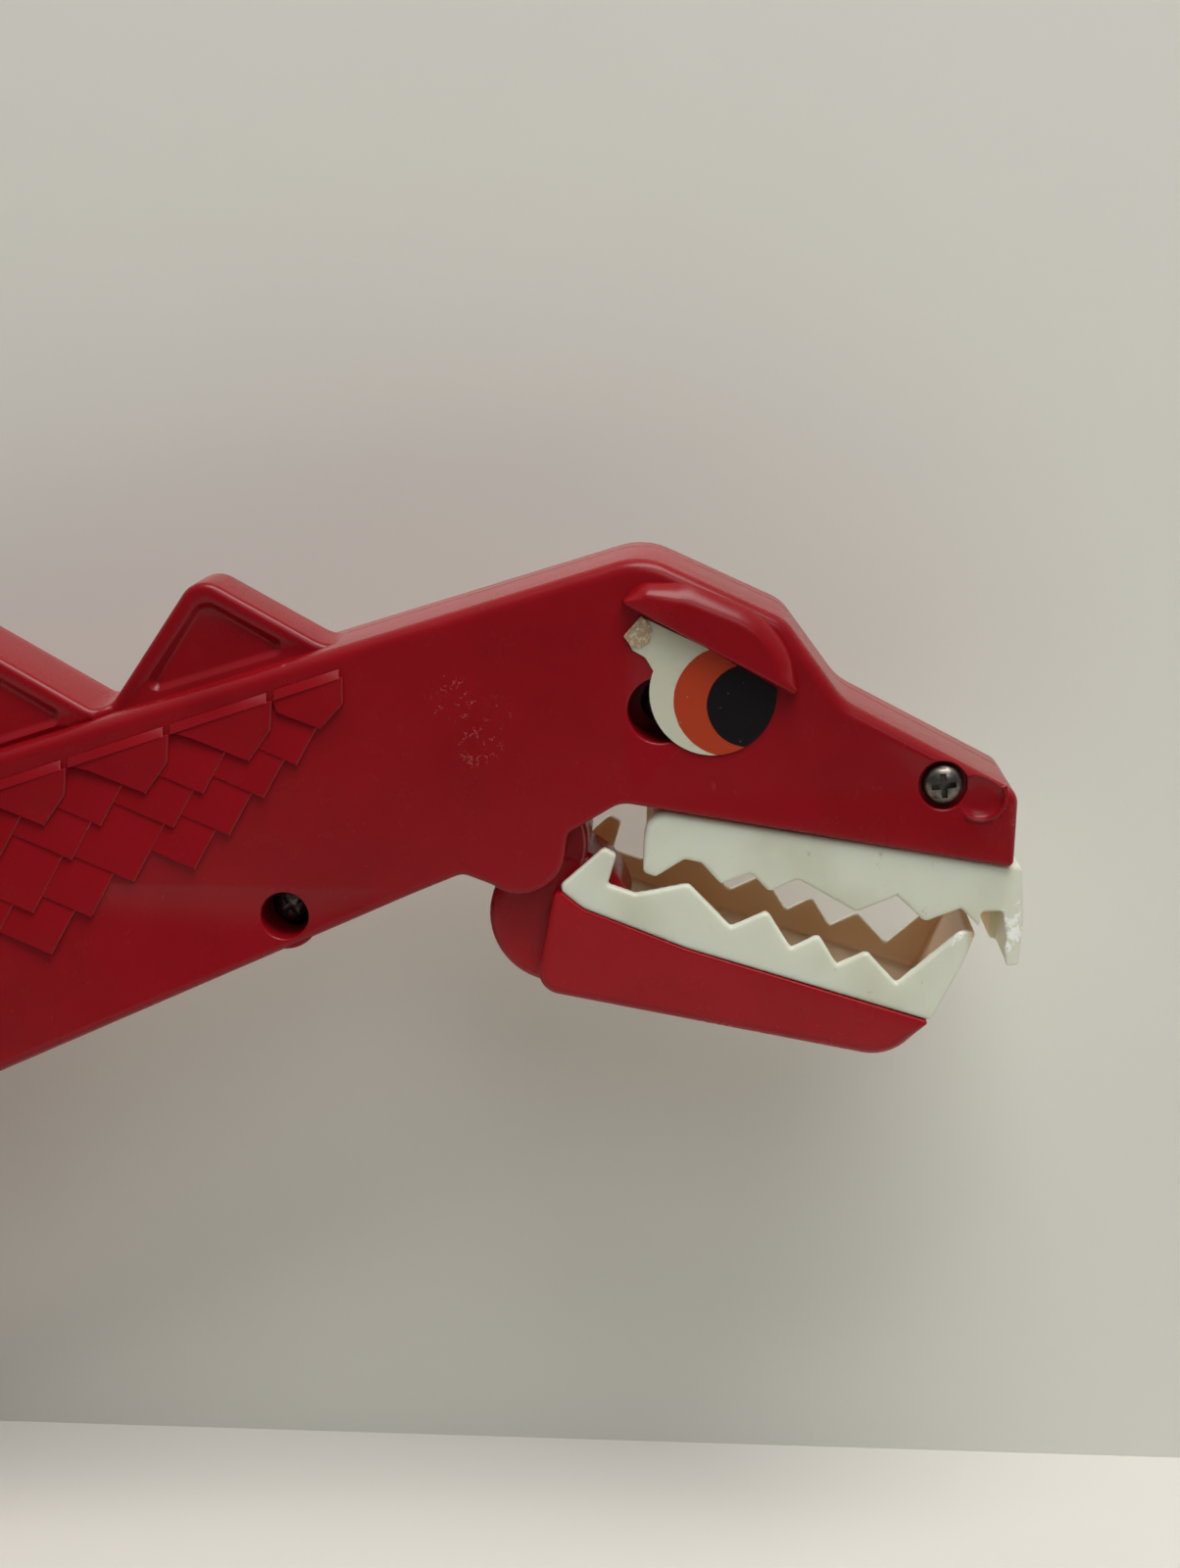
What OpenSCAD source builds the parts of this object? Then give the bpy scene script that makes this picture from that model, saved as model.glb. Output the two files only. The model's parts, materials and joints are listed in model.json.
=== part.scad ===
// A hand-held snapping toy with a dragon's head. Squeezing the trigger pushes a rod along the
// neck, which turns the lower jaw down; a spring pulls the mouth shut again.
// X points to the snout, Z is up and -Y is the dragon's right side. The origin is the middle of
// the overall box, on the surface that the foot of the grip stands on.
// Side outlines are lists of [x, z, corner radius]. The head, neck, jaw and teeth are measured
// from the jaw pivot, and everything behind the neck from the trigger pivot.

/* [Body] */
// Width across the two half shells
body_w = 24; // [20:0.5:30]
// Thickness of the shell walls
wall = 2; // [1.5:0.1:2.5]
// How far the joint between the shells lies to the left of the middle
split_y = 5; // [3:0.5:6]
// Height of the jaw pivot above the foot of the grip
pivot_h = 118; // [98:1:145]
// Reach of the snout in front of the jaw pivot
snout_reach = 71; // [60:1:86]
// Distance of the trigger pivot behind the jaw pivot
neck_reach = 104; // [86:1:126]
// Distance of the trigger pivot below the jaw pivot
neck_drop = 34; // [28:1:41]
// Reach of the tail behind the trigger pivot
tail_reach = 130; // [115:1:156]
// Length of the grip's foot, front to back
foot_len = 46; // [38:1:56]
// Clear height between the joined faces of posts and bosses
face_gap = 0.2; // [0.1:0.05:0.4]

/* [Fins] */
// Width of the four back fins, front to rear
fin_w = [12, 16, 16, 12]; // [9:0.5:20]
// Rise of the left shell's share of a narrow fin beyond the joint
fin_lip = 1; // [0.8:0.1:2]
// Width of the rim around a fin's sunk panel
fin_rim = 2.8; // [2:0.1:4]
// Depth of a fin's sunk panel
fin_sink = 0.8; // [0.4:0.1:1.2]

/* [Face] */
// How far the brow stands out from the side of the head
brow_out = 2.2; // [1:0.1:3]
// How far the scale plate stands out from the side of the neck
scale_out = 0.8; // [0.4:0.1:1.2]
// Radius of the eye sticker
eye_r = 9; // [7:0.5:11]
// Thickness of the eye sticker
eye_t = 0.25; // [0.1:0.05:0.4]
// Radius of the nostril hollow
nostril_r = 3.2; // [2:0.1:4]
// Depth of the nostril hollow
nostril_sink = 0.9; // [0.4:0.1:1.2]

/* [Jaw] */
// Width of the jaw's tray
jaw_w = 22.8; // [19:0.1:24]
// Thickness of the tray's walls
jaw_wall = 1.8; // [1.4:0.1:2.2]
// Width of the hub and heel that turn between the shells
hub_w = 15; // [12.5:0.1:16]
// Radius of the hub
hub_r = 7.8; // [6.5:0.1:8.2]
// Radius of the hub's front, which closes the corner of the mouth
hub_front_r = 9.8; // [8.2:0.1:11]
// Radius of the lobes on the shells that cover the jaw pivot
lobe_r = 6.6; // [5.5:0.1:7.2]
// Radius of the jaw pin and the trigger pin
pin_r = 2; // [1.6:0.1:2.4]

/* [Teeth] */
// Width across each row of teeth
teeth_w = 22.4; // [19:0.1:23.5]
// Thickness of the tooth walls
teeth_wall = 1.6; // [1.2:0.1:2]
// Thickness of the plate that joins the tooth walls
teeth_plate = 2; // [1.5:0.1:2.4]
// Thickness of the lug that holds the upper teeth
lug_t = 4; // [3:0.1:5]
// Radius of the pegs under the lower teeth
peg_r = 2; // [1.6:0.1:2.4]
// Length of the pegs under the lower teeth
peg_len = 4; // [3:0.1:5]

/* [Linkage] */
// Length of the lever arms on the jaw and on the trigger
lever = 12; // [10.5:0.1:14]
// Thickness of the push rod
rod_t = 3; // [2.5:0.1:3.6]
// Height of the push rod
rod_h = 4; // [3.4:0.1:4.8]
// Radius of the push rod's eyes and of the lever ends
eye_end_r = 3.4; // [2.9:0.1:4]
// Radius of the two rod pins
rod_pin_r = 1.5; // [1.2:0.1:1.8]
// Width of the lever forks
fork_w = 10; // [8.5:0.1:12]
// Width of the trigger
trigger_w = 14; // [12:0.1:15.5]
// Radius of the trigger's hub
trigger_hub_r = 7; // [6:0.1:7.5]
// Length of the finger lever below its pivot
trigger_len = 60; // [50:1:64]

/* [Spring] */
// Outer radius of the return spring
spring_r = 2.8; // [2.4:0.1:3.4]
// Thickness of the spring wire
wire_d = 0.7; // [0.5:0.05:0.9]
// Distance from the rod's rear pin to the spring's eye
spring_eye = 9; // [8:0.5:11]
// Length of the spring between the middles of its two hooks
spring_len = 36; // [30:0.5:40]
// Radius of the post that anchors the spring
post_r = 2; // [1.6:0.1:2.2]

/* [Screws] */
// Radius of the screw shanks
screw_r = 1.5; // [1.2:0.1:1.8]
// Radius of the screw heads
head_r = 3; // [2.5:0.1:3.3]
// Height of the screw heads
head_h = 2.2; // [1.6:0.1:2.6]
// Length of the screw shanks
screw_len = 11; // [9:0.5:12]
// Thickness of the floor under a screw head
seat_t = 2.2; // [1.6:0.1:2.8]
// Radius of the bosses that the screws bite into
boss_r = 3.5; // [3:0.1:4]

/* [Fits] */
// Radial clearance of a turning pin
running_fit = 0.05; // [0.02:0.01:0.1]
// Clearance beside the hubs and rod, and around the lugs
side_gap = 0.3; // [0.2:0.05:0.5]
// Radial clearance around a fixed pin, screw or peg
fixed_fit = 0.03; // [0.01:0.01:0.1]
// Gap between the upper teeth and the roof of the mouth
seat_gap = 0.02; // [0.01:0.01:0.1]

/* [Hidden] */
$fn = 48;

body_red = [0.62, 0.06, 0.09];
tooth_white = [0.9, 0.92, 0.86];
steel = [0.45, 0.44, 0.43];
sticker_white = [0.88, 0.87, 0.82];

half = body_w / 2;
inside = half - wall;
arc_step = 15;

// The stretch of the head in front of the eye follows snout_reach.
base_snout = 71;
stretch_from = 20;
function fore(x) = x <= stretch_from ? x
    : stretch_from + (x - stretch_from) * (snout_reach - stretch_from) / (base_snout - stretch_from);
function stretched(path) = [for (p = path) len(p) == 3 ? [fore(p.x), p.y, p.z] : [fore(p.x), p.y]];

// Places of the two pivots and of the linkage between them, measured from the jaw pivot
trigger_at = [-neck_reach, -neck_drop];
neck_dir = trigger_at / norm(trigger_at);
lever_dir = [neck_dir.y, -neck_dir.x];
front_pin_at = lever * lever_dir;
rear_pin_at = trigger_at + front_pin_at;
spring_front_at = rear_pin_at + spring_eye * neck_dir;
spring_rear_at = rear_pin_at + (spring_eye + spring_len) * neck_dir;

// The upper fangs reach furthest forward, and the tail furthest back.
fang_front = fore(73.1);
jaw_x = (neck_reach + tail_reach - fang_front) / 2;

// ---- helpers ----
function unit(v) = v / norm(v);

// The points of one rounded corner b between its neighbours a and c
function corner(a, b, c, r) = r <= 0 ? [b] :
    let (u = unit(a - b), v = unit(c - b), turn = acos(u * v) / 2, t = r / tan(turn),
         p = b + u * t, q = b + v * t, m = b + unit(u + v) * r / sin(turn),
         from = atan2(p.y - m.y, p.x - m.x), to = atan2(q.y - m.y, q.x - m.x),
         sweep = ((to - from + 540) % 360) - 180, n = max(2, ceil(abs(sweep) / arc_step)))
    [for (i = [0:n]) m + r * [cos(from + sweep * i / n), sin(from + sweep * i / n)]];

// A closed outline from a list of [x, z, radius]
function rounded(path) = let (n = len(path)) [for (i = [0:n - 1])
    let (a = path[(i + n - 1) % n], b = path[i], c = path[(i + 1) % n])
    each corner([a.x, a.y], [b.x, b.y], [c.x, c.y], b.z)];

function arc(r, from, to) = let (n = ceil(abs(to - from) / arc_step))
    [for (i = [0:n]) [r * cos(from + (to - from) * i / n), r * sin(from + (to - from) * i / n), 0]];

function behind(path) = [for (p = path) [p.x + trigger_at.x, p.y + trigger_at.y, p.z]];

// Stands a side outline up between two planes across the toy.
module slab(y0, y1) {
    translate([jaw_x, y1, pivot_h]) rotate([90, 0, 0]) linear_extrude(y1 - y0) children();
}

// A round bar across the toy at a point of the side view
module bar(at, r, y0, y1) {
    slab(y0, y1) translate(at) circle(r);
}

// ---- side outlines ----
head_top = stretched([
    [70.7, -1.6, 0.8],
    [71.2, 9.2, 3],
    [46.2, 22.2, 8],
    [37.7, 33.7, 6],
    [17.45, 42.85, 10]]);
foot_z = neck_drop - pivot_h;
rear = behind([
    [-26, 30.7, 30],
    [-70, 12, 20],
    [-102, 3, 16],
    [-tail_reach, 15.5, 2.5],
    [-tail_reach, 9, 2.5],
    [-100, -16, 14],
    [-76, -34, 10],
    [-72, -54, 20],
    [-32 - foot_len, foot_z, 3],
    [-32, foot_z, 3],
    [-38, -60, 20],
    [-33, -28, 8]]);
neck_low = [[-15.7, -6.8, 6], [-8.3, -3.6, 2.5]];
mouth_corner = [[6.9, 2.6, 1.5], [14.6, 7.25, 4]];
// Height of the roof of the mouth at a place along the head
function roof_z(x) = mouth_corner[1].y
    + (head_top[0].y - mouth_corner[1].y) * (x - mouth_corner[1].x) / (head_top[0].x - mouth_corner[1].x);
body_path = concat(head_top, rear, neck_low, arc(lobe_r, -128, -5), mouth_corner);

fins = [
    [[-60.2, 18.6, 3], [-47, 39, 4], [-27.5, 28, 3]],
    [[-112.5, 1.4, 3], [-91, 35.8, 5], [-62, 18.6, 3]],
    concat(behind([[-58, 15, 3], [-36, 51, 5]]), behind([[-9, 35, 3]])),
    behind([[-94, 2, 3], [-78, 28, 4], [-58, 16, 3]])];

module body_outline() { polygon([for (p = rounded(body_path)) [p.x, p.y]]); }
module cavity_outline() { offset(delta = -wall) body_outline(); }
module fin_outline(i) { polygon(rounded(fins[i])); }

brow = stretched([[14.2, 36.3, 1], [17.6, 38.8, 3], [24, 38.8, 6], [37.4, 32.9, 4], [40, 22.6, 1]]);
module brow_outline() { polygon(rounded(brow)); }

// The scale plate ends in front in a stair of square scale tips.
scale_tip = [-28.3, 17.7];
scale_step = [-4.9, -5.2];
scale_notch = [-1.6, 0.8];
scale_tips = 5;
scale_plate = concat(
    [[-25, 26.2], [-24.8, 20.8]],
    [for (i = [0:scale_tips - 1]) each [scale_tip + i * scale_step,
                                         scale_tip + i * scale_step + scale_notch]],
    [[-57, -5.5], trigger_at + [-4, 4], trigger_at + [-16, 22], trigger_at + [4, 37.5]]);

tray = stretched([[4.9, -6.6, 0.8], [1.9, -21.3, 3.5], [51.5, -30.7, 7], [59.6, -25.1, 0.4],
                  [24.1, -14.6, 0], [9.1, -8.8, 0], [6, -6.3, 0]]);
tray_top = [[59.6, -25.1], [24.1, -14.6], [9.1, -8.8], [6, -6.3]];
heel_at = [5.5, -11];
heel_r = 10.4;

lower_row = stretched([
    [6, -6.3, 0], [5.9, -5.2, 0.8], [7, -4.3, 0], [12.2, 0.4, 0.8], [14, -0.7, 0.4],
    [12.7, -5.1, 0], [16.8, -6.5, 0], [24.4, -4.9, 0.8], [30.6, -11.3, 0.3], [35.8, -8.8, 0.8],
    [39.3, -14.4, 0.3], [43.3, -12.3, 0.8], [46, -16.8, 0.3], [50.3, -14.7, 0.8],
    [54.7, -19.5, 0.3], [63.8, -11.4, 1], [66.3, -12.1, 0.6], [59.8, -25.1, 0.6],
    [24.1, -14.6, 0], [9.1, -8.8, 0]]);
upper_side = [
    [19, roof_z(19) - seat_gap, 1.5], [17.8, 1, 2], [17.8, -3.2, 0.8], [19.6, -3.9, 0.6], [23.8, -1.2, 0.6],
    [26.2, -1.7, 0], [29.1, -4.9, 0.6], [33.4, -3.2, 0.3], [36, -5.9, 0.6], [40.2, -4, 0.3],
    [48.6, -8.8, 0.8], [54.4, -6.3, 0.3], [58.5, -10.1, 0.8], [63.6, -8, 0.3]];
// The right front fang is chipped short, and the left one is whole.
chipped_fang = [[69.9, -8.4, 0], [70.3, -15, 0.3], [72.3, -16.4, 0.4]];
whole_fang = [[68, -12.5, 0.8], [70.6, -18.4, 0.5], [72.2, -18.8, 0.4]];
upper_front = [[73.1, -10, 3], [72.3, roof_z(fore(72.3)) - seat_gap, 1.2]];

// ---- parts of the shells ----
// [place, recess radius, depth of the head's seat below the right side]
screws = [
    [[fore(60.4), 10.3], 3.5, 1.6],
    [[20.2, 20.7], 4.7, 8],
    [[-34.4, -10.2], 3.5, 8],
    [trigger_at + [-30, 20], 3.5, 8],
    [trigger_at + [-104, -6], 3.5, 8],
    [trigger_at + [-56, foot_z + 12], 3.5, 8]];
function seat_y(s) = -half + s[2];

// Clears the hub, the fork and the heel where they pass between the shells.
module jaw_slot() {
    bar([0, 0], hub_front_r + 2 * side_gap, -hub_w / 2 - side_gap, hub_w / 2 + side_gap);
}

module trigger_slot() {
    w = trigger_w / 2 + side_gap;
    slab(-w, w) translate(trigger_at) polygon([[10, -2], [10, -14], [-22, -32], [-22, -14], [-8, -2]]);
}

// The slots in the roof of the mouth for the lugs of the upper teeth
lug_front = [fore(56), fore(65)];
lug_rear = [25, 33];
lug_top = 15;
module lug_slots() {
    w = lug_t / 2 + side_gap;
    for (lug = [lug_front, lug_rear])
        slab(-w, w) translate([lug[0] - side_gap, -5]) square([lug[1] - lug[0] + 2 * side_gap, 14]);
}

module pivot_bosses(side) {
    for (p = [[[0, 0], hub_w], [trigger_at, trigger_w]])
        if (side < 0)
            bar(p[0], 4.4, -inside - 0.5, -p[1] / 2 - side_gap);
        else
            bar(p[0], 4.4, p[1] / 2 + side_gap, inside + 0.5);
}

module fin_blank(i, y0, y1) {
    slab(y0, y1) fin_outline(i);
}

module fin_panel(i, y0, y1) {
    slab(y0, y1) difference() {
        offset(delta = -fin_rim) fin_outline(i);
        body_outline();
    }
}

module right_shell() {
    color(body_red) difference() {
        union() {
            difference() {
                union() {
                    slab(-half, split_y) body_outline();
                    for (i = [0:3]) fin_blank(i, -fin_w[i] / 2, split_y);
                }
                slab(-inside, split_y + 1) cavity_outline();
                for (i = [0:3])
                    slab(-fin_w[i] / 2 + wall + fin_sink, split_y + 1) difference() {
                        offset(delta = -wall) fin_outline(i);
                        body_outline();
                    }
            }
            slab(-half - brow_out, -half) brow_outline();
            slab(-half - scale_out, -half) polygon(scale_plate);
            pivot_bosses(-1);
            intersection() {
                slab(-half, split_y) body_outline();
                for (s = screws)
                    union() {
                        bar(s[0], s[1] + 1.6, -half, seat_y(s) + seat_t);
                        bar(s[0], boss_r, -half, seat_y(s) + seat_t);
                    }
            }
        }
        for (i = [0:3]) fin_panel(i, -half, -fin_w[i] / 2 + fin_sink);
        for (s = screws) {
            bar(s[0], s[1], -half - 5, seat_y(s));
            bar(s[0], screw_r + 0.2, -half, half);
        }
        bar([fore(65.6), 8.6], nostril_r, -half - 1, -half + nostril_sink);
        bar([0, 0], pin_r + fixed_fit, -inside, 0);
        bar(trigger_at, pin_r + fixed_fit, -inside, 0);
        jaw_slot();
        trigger_slot();
        lug_slots();
    }
}

module left_shell() {
    color(body_red) difference() {
        union() {
            difference() {
                union() {
                    slab(split_y, half) body_outline();
                    for (i = [0:3]) fin_blank(i, split_y, max(fin_w[i] / 2, split_y + fin_lip));
                }
                slab(split_y - 1, inside) cavity_outline();
            }
            slab(half, half + brow_out) brow_outline();
            slab(half, half + scale_out) polygon(scale_plate);
            pivot_bosses(1);
            intersection() {
                slab(-half, half) cavity_outline();
                for (s = screws) bar(s[0], boss_r, seat_y(s) + seat_t + face_gap, half);
            }
            bar(spring_rear_at, post_r, -inside + face_gap, inside + 0.5);
        }
        for (s = screws) bar(s[0], screw_r + fixed_fit, -half, seat_y(s) + screw_len + 1);
        bar([0, 0], pin_r + fixed_fit, 0, inside);
        bar(trigger_at, pin_r + fixed_fit, 0, inside);
        jaw_slot();
        trigger_slot();
        lug_slots();
    }
}

// ---- teeth ----
module rounded_plan(x0, x1, r) {
    // A plan with round front corners, standing through the whole height
    w = teeth_w / 2;
    translate([jaw_x, 0, pivot_h - 60]) linear_extrude(120) union() {
        translate([x0, -w]) square([x1 - r - x0, 2 * w]);
        translate([x0, -w + r]) square([x1 - x0, 2 * w - 2 * r]);
        for (s = [-1, 1]) translate([x1 - r, s * (w - r)]) circle(r);
    }
}

front_r = 4;
module upper_teeth() {
    w = teeth_w / 2;
    color(tooth_white) difference() {
        union() {
            intersection() {
                union() {
                    slab(-w, 0) polygon(rounded(stretched(concat(upper_side, chipped_fang, upper_front))));
                    slab(0, w) polygon(rounded(stretched(concat(upper_side, whole_fang, upper_front))));
                }
                rounded_plan(0, fang_front, front_r);
            }
            slab(-lug_t / 2, lug_t / 2) intersection() {
                offset(delta = -side_gap) cavity_outline();
                for (lug = [lug_front, lug_rear])
                    translate([lug[0], -3]) square([lug[1] - lug[0], lug_top]);
            }
            slab(-lug_t / 2, lug_t / 2)
                for (lug = [lug_front, lug_rear])
                    translate([lug[0], roof_z(lug[0]) - 3]) square([lug[1] - lug[0], wall + 4]);
        }
        slab(-w + teeth_wall, w - teeth_wall)
            polygon([[10, roof_z(10) - teeth_plate], [fore(71.4), roof_z(fore(71.4)) - teeth_plate],
                     [fore(71.4), -30], [10, -30]]);
        bar(screws[0][0], boss_r + side_gap, -w, w);
    }
}

pegs = [[fore(20), -14.6], [fore(44), -22]];
module lower_teeth() {
    w = teeth_w / 2;
    color(tooth_white) union() {
        difference() {
            intersection() {
                slab(-w, w) polygon(rounded(lower_row));
                rounded_plan(-20, fore(66.3), front_r);
            }
            slab(-w + teeth_wall, w - teeth_wall)
                polygon(stretched([[-10, -1], [9.1, -8.8 + teeth_plate], [24.1, -14.6 + teeth_plate],
                                   [58.8, -25.1 + teeth_plate], [66, -9], [60, 5], [-10, 5]]));
        }
        for (p = pegs) translate([jaw_x + p.x, 0, pivot_h + p.y - peg_len]) cylinder(r = peg_r, h = peg_len + 2);
    }
}

// ---- moving parts ----
module lever_arm(hub) {
    circle(hub);
    translate(front_pin_at) circle(eye_end_r);
    rotate(atan2(lever_dir.y, lever_dir.x)) translate([0, -eye_end_r]) square([lever, 2 * eye_end_r]);
}

// The gap in a fork that the rod works in
module rod_gap(at) {
    g = rod_t / 2 + side_gap;
    slab(-g, g) difference() {
        translate(at + front_pin_at) circle(eye_end_r + 3);
        translate(at) circle(lever * cos(30) - rod_h / 2 - side_gap);
    }
}

module lower_jaw() {
    w = jaw_w / 2;
    color(body_red) difference() {
        union() {
            slab(-fork_w / 2, fork_w / 2) lever_arm(hub_r);
            slab(-hub_w / 2, hub_w / 2) {
                circle(hub_r);
                intersection() {
                    circle(hub_front_r);
                    polygon([[0, 0], [20, -12], [20, 20], [8, 20]]);
                }
                translate(heel_at) circle(heel_r);
            }
            difference() {
                slab(-w, w) polygon(rounded(tray));
                slab(-w + jaw_wall, w - jaw_wall)
                    polygon(stretched([[18, 0], [18, -22.2], [50.5, -28.5], [55, -26.2], [57.5, -22]]));
            }
            for (p = pegs)
                intersection() {
                    slab(-w + 0.5, w - 0.5) polygon(rounded(tray));
                    translate([jaw_x + p.x, 0, pivot_h - 40]) cylinder(r = peg_r + 1.4, h = 60);
                }
        }
        // the seat of the lower teeth
        slab(-w - 1, w + 1) polygon(concat(stretched(tray_top), [[5, 10], [80, 10], [80, -25.1]]));
        rod_gap([0, 0]);
        bar([0, 0], pin_r + running_fit, -w, w);
        bar(front_pin_at, rod_pin_r + fixed_fit, -w, w);
        for (p = pegs)
            translate([jaw_x + p.x, 0, pivot_h + p.y - peg_len - 0.5])
                cylinder(r = peg_r + fixed_fit, h = peg_len + 20);
    }
}

module trigger() {
    w = trigger_w / 2;
    finger = behind([[7, 2, 1], [8.5, -14, 8], [3.5, -trigger_len / 2, 30], [8, -trigger_len + 3, 3],
                     [3, -trigger_len, 3], [-2, -trigger_len + 4, 3], [-5, -trigger_len / 2, 30],
                     [-5, -14, 8], [-7, -1, 1]]);
    color(body_red) difference() {
        union() {
            slab(-fork_w / 2, fork_w / 2) translate(trigger_at) lever_arm(trigger_hub_r);
            slab(-w, w) {
                translate(trigger_at) circle(trigger_hub_r);
                polygon(rounded(finger));
            }
        }
        rod_gap(trigger_at);
        bar(trigger_at, pin_r + running_fit, -w - 1, w + 1);
        bar(rear_pin_at, rod_pin_r + fixed_fit, -w, w);
    }
}

module push_rod() {
    eye_r = rod_pin_r + running_fit;
    color(steel) difference() {
        slab(-rod_t / 2, rod_t / 2) {
            translate(front_pin_at) circle(eye_end_r);
            translate(rear_pin_at) circle(eye_end_r);
            translate(spring_front_at) circle(eye_end_r - 0.6);
            translate(spring_front_at) rotate(atan2(-neck_dir.y, -neck_dir.x))
                translate([0, -rod_h / 2]) square([norm(trigger_at) + spring_eye, rod_h]);
        }
        bar(front_pin_at, rod_pin_r + 3 * running_fit, -5, 5);
        bar(rear_pin_at, eye_r, -5, 5);
        bar(spring_front_at, wire_d / 2 + 0.6, -5, 5);
    }
}

module cross_pin(at, r, len) {
    color(steel) bar(at, r, -len / 2, len / 2);
}

// A tension spring as its outer tube, with a ring hook at each end
module return_spring() {
    hook_r = post_r + wire_d / 2 + 0.2;
    front_hook_r = rod_t;
    coil_from = 2 * front_hook_r + 0.5;
    coil_to = spring_len - hook_r - 1.5;
    color(steel) translate([jaw_x + spring_front_at.x, 0, pivot_h + spring_front_at.y])
        rotate([0, -atan2(neck_dir.y, neck_dir.x), 0]) union() {
            translate([coil_from, 0, 0]) rotate([0, 90, 0]) difference() {
                cylinder(r = spring_r, h = coil_to - coil_from);
                translate([0, 0, 1]) cylinder(r = spring_r - wire_d, h = coil_to - coil_from - 2);
            }
            // the front hook passes through the rod's eye, and the rear one rings the post
            translate([front_hook_r, 0, 0]) rotate_extrude($fn = 24)
                translate([front_hook_r, 0]) circle(wire_d / 2, $fn = 16);
            translate([coil_from - 1, 0, 0]) rotate([0, 90, 0]) cylinder(r = wire_d / 2, h = 1.5);
            translate([spring_len, 0, 0]) rotate([90, 0, 0]) rotate_extrude($fn = 32)
                translate([hook_r, 0]) circle(wire_d / 2, $fn = 16);
            translate([coil_to - 0.5, 0, 0]) rotate([0, 90, 0]) cylinder(r = wire_d / 2, h = 2.2);
        }
}

module cross_recess(r, depth) {
    for (a = [0, 90]) rotate(a) translate([-r, -0.4, 0]) cube([2 * r, 0.8, depth]);
}

module screw_body() {
    difference() {
        union() {
            translate([0, 0, -head_h]) cylinder(r = head_r, h = head_h);
            cylinder(r = screw_r, h = screw_len);
        }
        translate([0, 0, -head_h - 0.1]) cross_recess(1.7, 1.3);
    }
}

module case_screws() {
    color(steel) for (s = screws)
        translate([jaw_x + s[0].x, seat_y(s), pivot_h + s[0].y]) rotate([-90, 0, 0]) screw_body();
}

// The eye sticker is round below the brow, and its torn tail runs back along the brow.
eye_at = [27.6, 23.4];
sticker_tail = [17, 14.8, 15.8];
function brow_low(x) = brow[0].y + (brow[4].y - brow[0].y) * (x - brow[0].x) / (brow[4].x - brow[0].x);
brow_turn = atan2(brow[4].x - brow[0].x, brow[0].y - brow[4].y);
brow_lean = acos((brow_low(eye_at.x) - 0.2 - eye_at.y) * sin(brow_turn) / eye_r);
module sticker_outline() {
    polygon(concat(
        [for (a = [145 : 9 : 360 + brow_turn - brow_lean]) eye_at + eye_r * [cos(a), sin(a)]],
        [[sticker_tail[0], brow_low(sticker_tail[0]) - 0.6]],
        [[sticker_tail[1], brow_low(sticker_tail[0]) - 2.2]],
        [[sticker_tail[2], brow_low(sticker_tail[2]) - 6]]));
}

module right_eye_sticker() { color(sticker_white) slab(-half - eye_t, -half) sticker_outline(); }
module left_eye_sticker() { color(sticker_white) slab(half, half + eye_t) sticker_outline(); }

right_shell();
left_shell();
upper_teeth();
lower_jaw();
lower_teeth();
cross_pin([0, 0], pin_r, 2 * inside - face_gap);  // jaw_pivot_pin
push_rod();
cross_pin(front_pin_at, rod_pin_r, fork_w);  // rod_front_pin
cross_pin(rear_pin_at, rod_pin_r, fork_w);  // rod_rear_pin
trigger();
cross_pin(trigger_at, pin_r, 2 * inside - face_gap);  // trigger_pivot_pin
return_spring();
case_screws();
right_eye_sticker();
left_eye_sticker();
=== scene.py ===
"""A hand-held snapping toy with a dragon's head: red moulded shells, white teeth, a trigger and its rod.

Side outlines are in millimetres from the jaw's hinge, as (x, z), and y is across the toy.
"""
import json
import math

import bmesh
import bpy
from mathutils import Matrix, Vector
from mathutils.geometry import delaunay_2d_cdt


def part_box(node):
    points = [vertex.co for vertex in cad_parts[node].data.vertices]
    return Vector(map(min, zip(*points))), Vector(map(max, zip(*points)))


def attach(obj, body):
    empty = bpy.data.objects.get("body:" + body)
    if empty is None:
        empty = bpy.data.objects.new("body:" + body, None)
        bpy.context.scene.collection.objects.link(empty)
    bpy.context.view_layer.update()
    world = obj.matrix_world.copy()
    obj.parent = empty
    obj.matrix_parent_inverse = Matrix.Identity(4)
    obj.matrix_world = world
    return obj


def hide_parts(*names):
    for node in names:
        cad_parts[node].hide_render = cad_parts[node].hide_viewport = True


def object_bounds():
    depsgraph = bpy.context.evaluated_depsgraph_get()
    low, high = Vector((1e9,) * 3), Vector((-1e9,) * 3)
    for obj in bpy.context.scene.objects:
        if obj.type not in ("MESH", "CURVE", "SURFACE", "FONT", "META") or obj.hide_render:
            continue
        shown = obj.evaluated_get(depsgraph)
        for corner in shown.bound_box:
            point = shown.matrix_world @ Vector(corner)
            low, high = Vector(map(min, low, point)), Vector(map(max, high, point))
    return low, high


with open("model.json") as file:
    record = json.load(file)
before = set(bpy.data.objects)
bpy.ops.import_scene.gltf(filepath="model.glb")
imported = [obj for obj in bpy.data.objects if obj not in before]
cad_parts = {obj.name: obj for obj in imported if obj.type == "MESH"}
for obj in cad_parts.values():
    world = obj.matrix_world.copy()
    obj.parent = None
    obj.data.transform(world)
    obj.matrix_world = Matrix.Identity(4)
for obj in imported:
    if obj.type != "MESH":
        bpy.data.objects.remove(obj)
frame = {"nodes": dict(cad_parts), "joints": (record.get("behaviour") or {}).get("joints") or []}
cad_low, cad_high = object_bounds()

MM = 0.001
JOINTS = {joint["name"]: Vector(joint["pos_m"]) for joint in frame["joints"]}
JAW = JOINTS["jaw_hinge"]
TRIGGER = JOINTS["trigger_squeeze"]
NODES = frame["nodes"]


def span(node):
    """The low and high y of a CAD node, in millimetres."""
    low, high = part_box(node)
    return low.y / MM, high.y / MM


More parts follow.
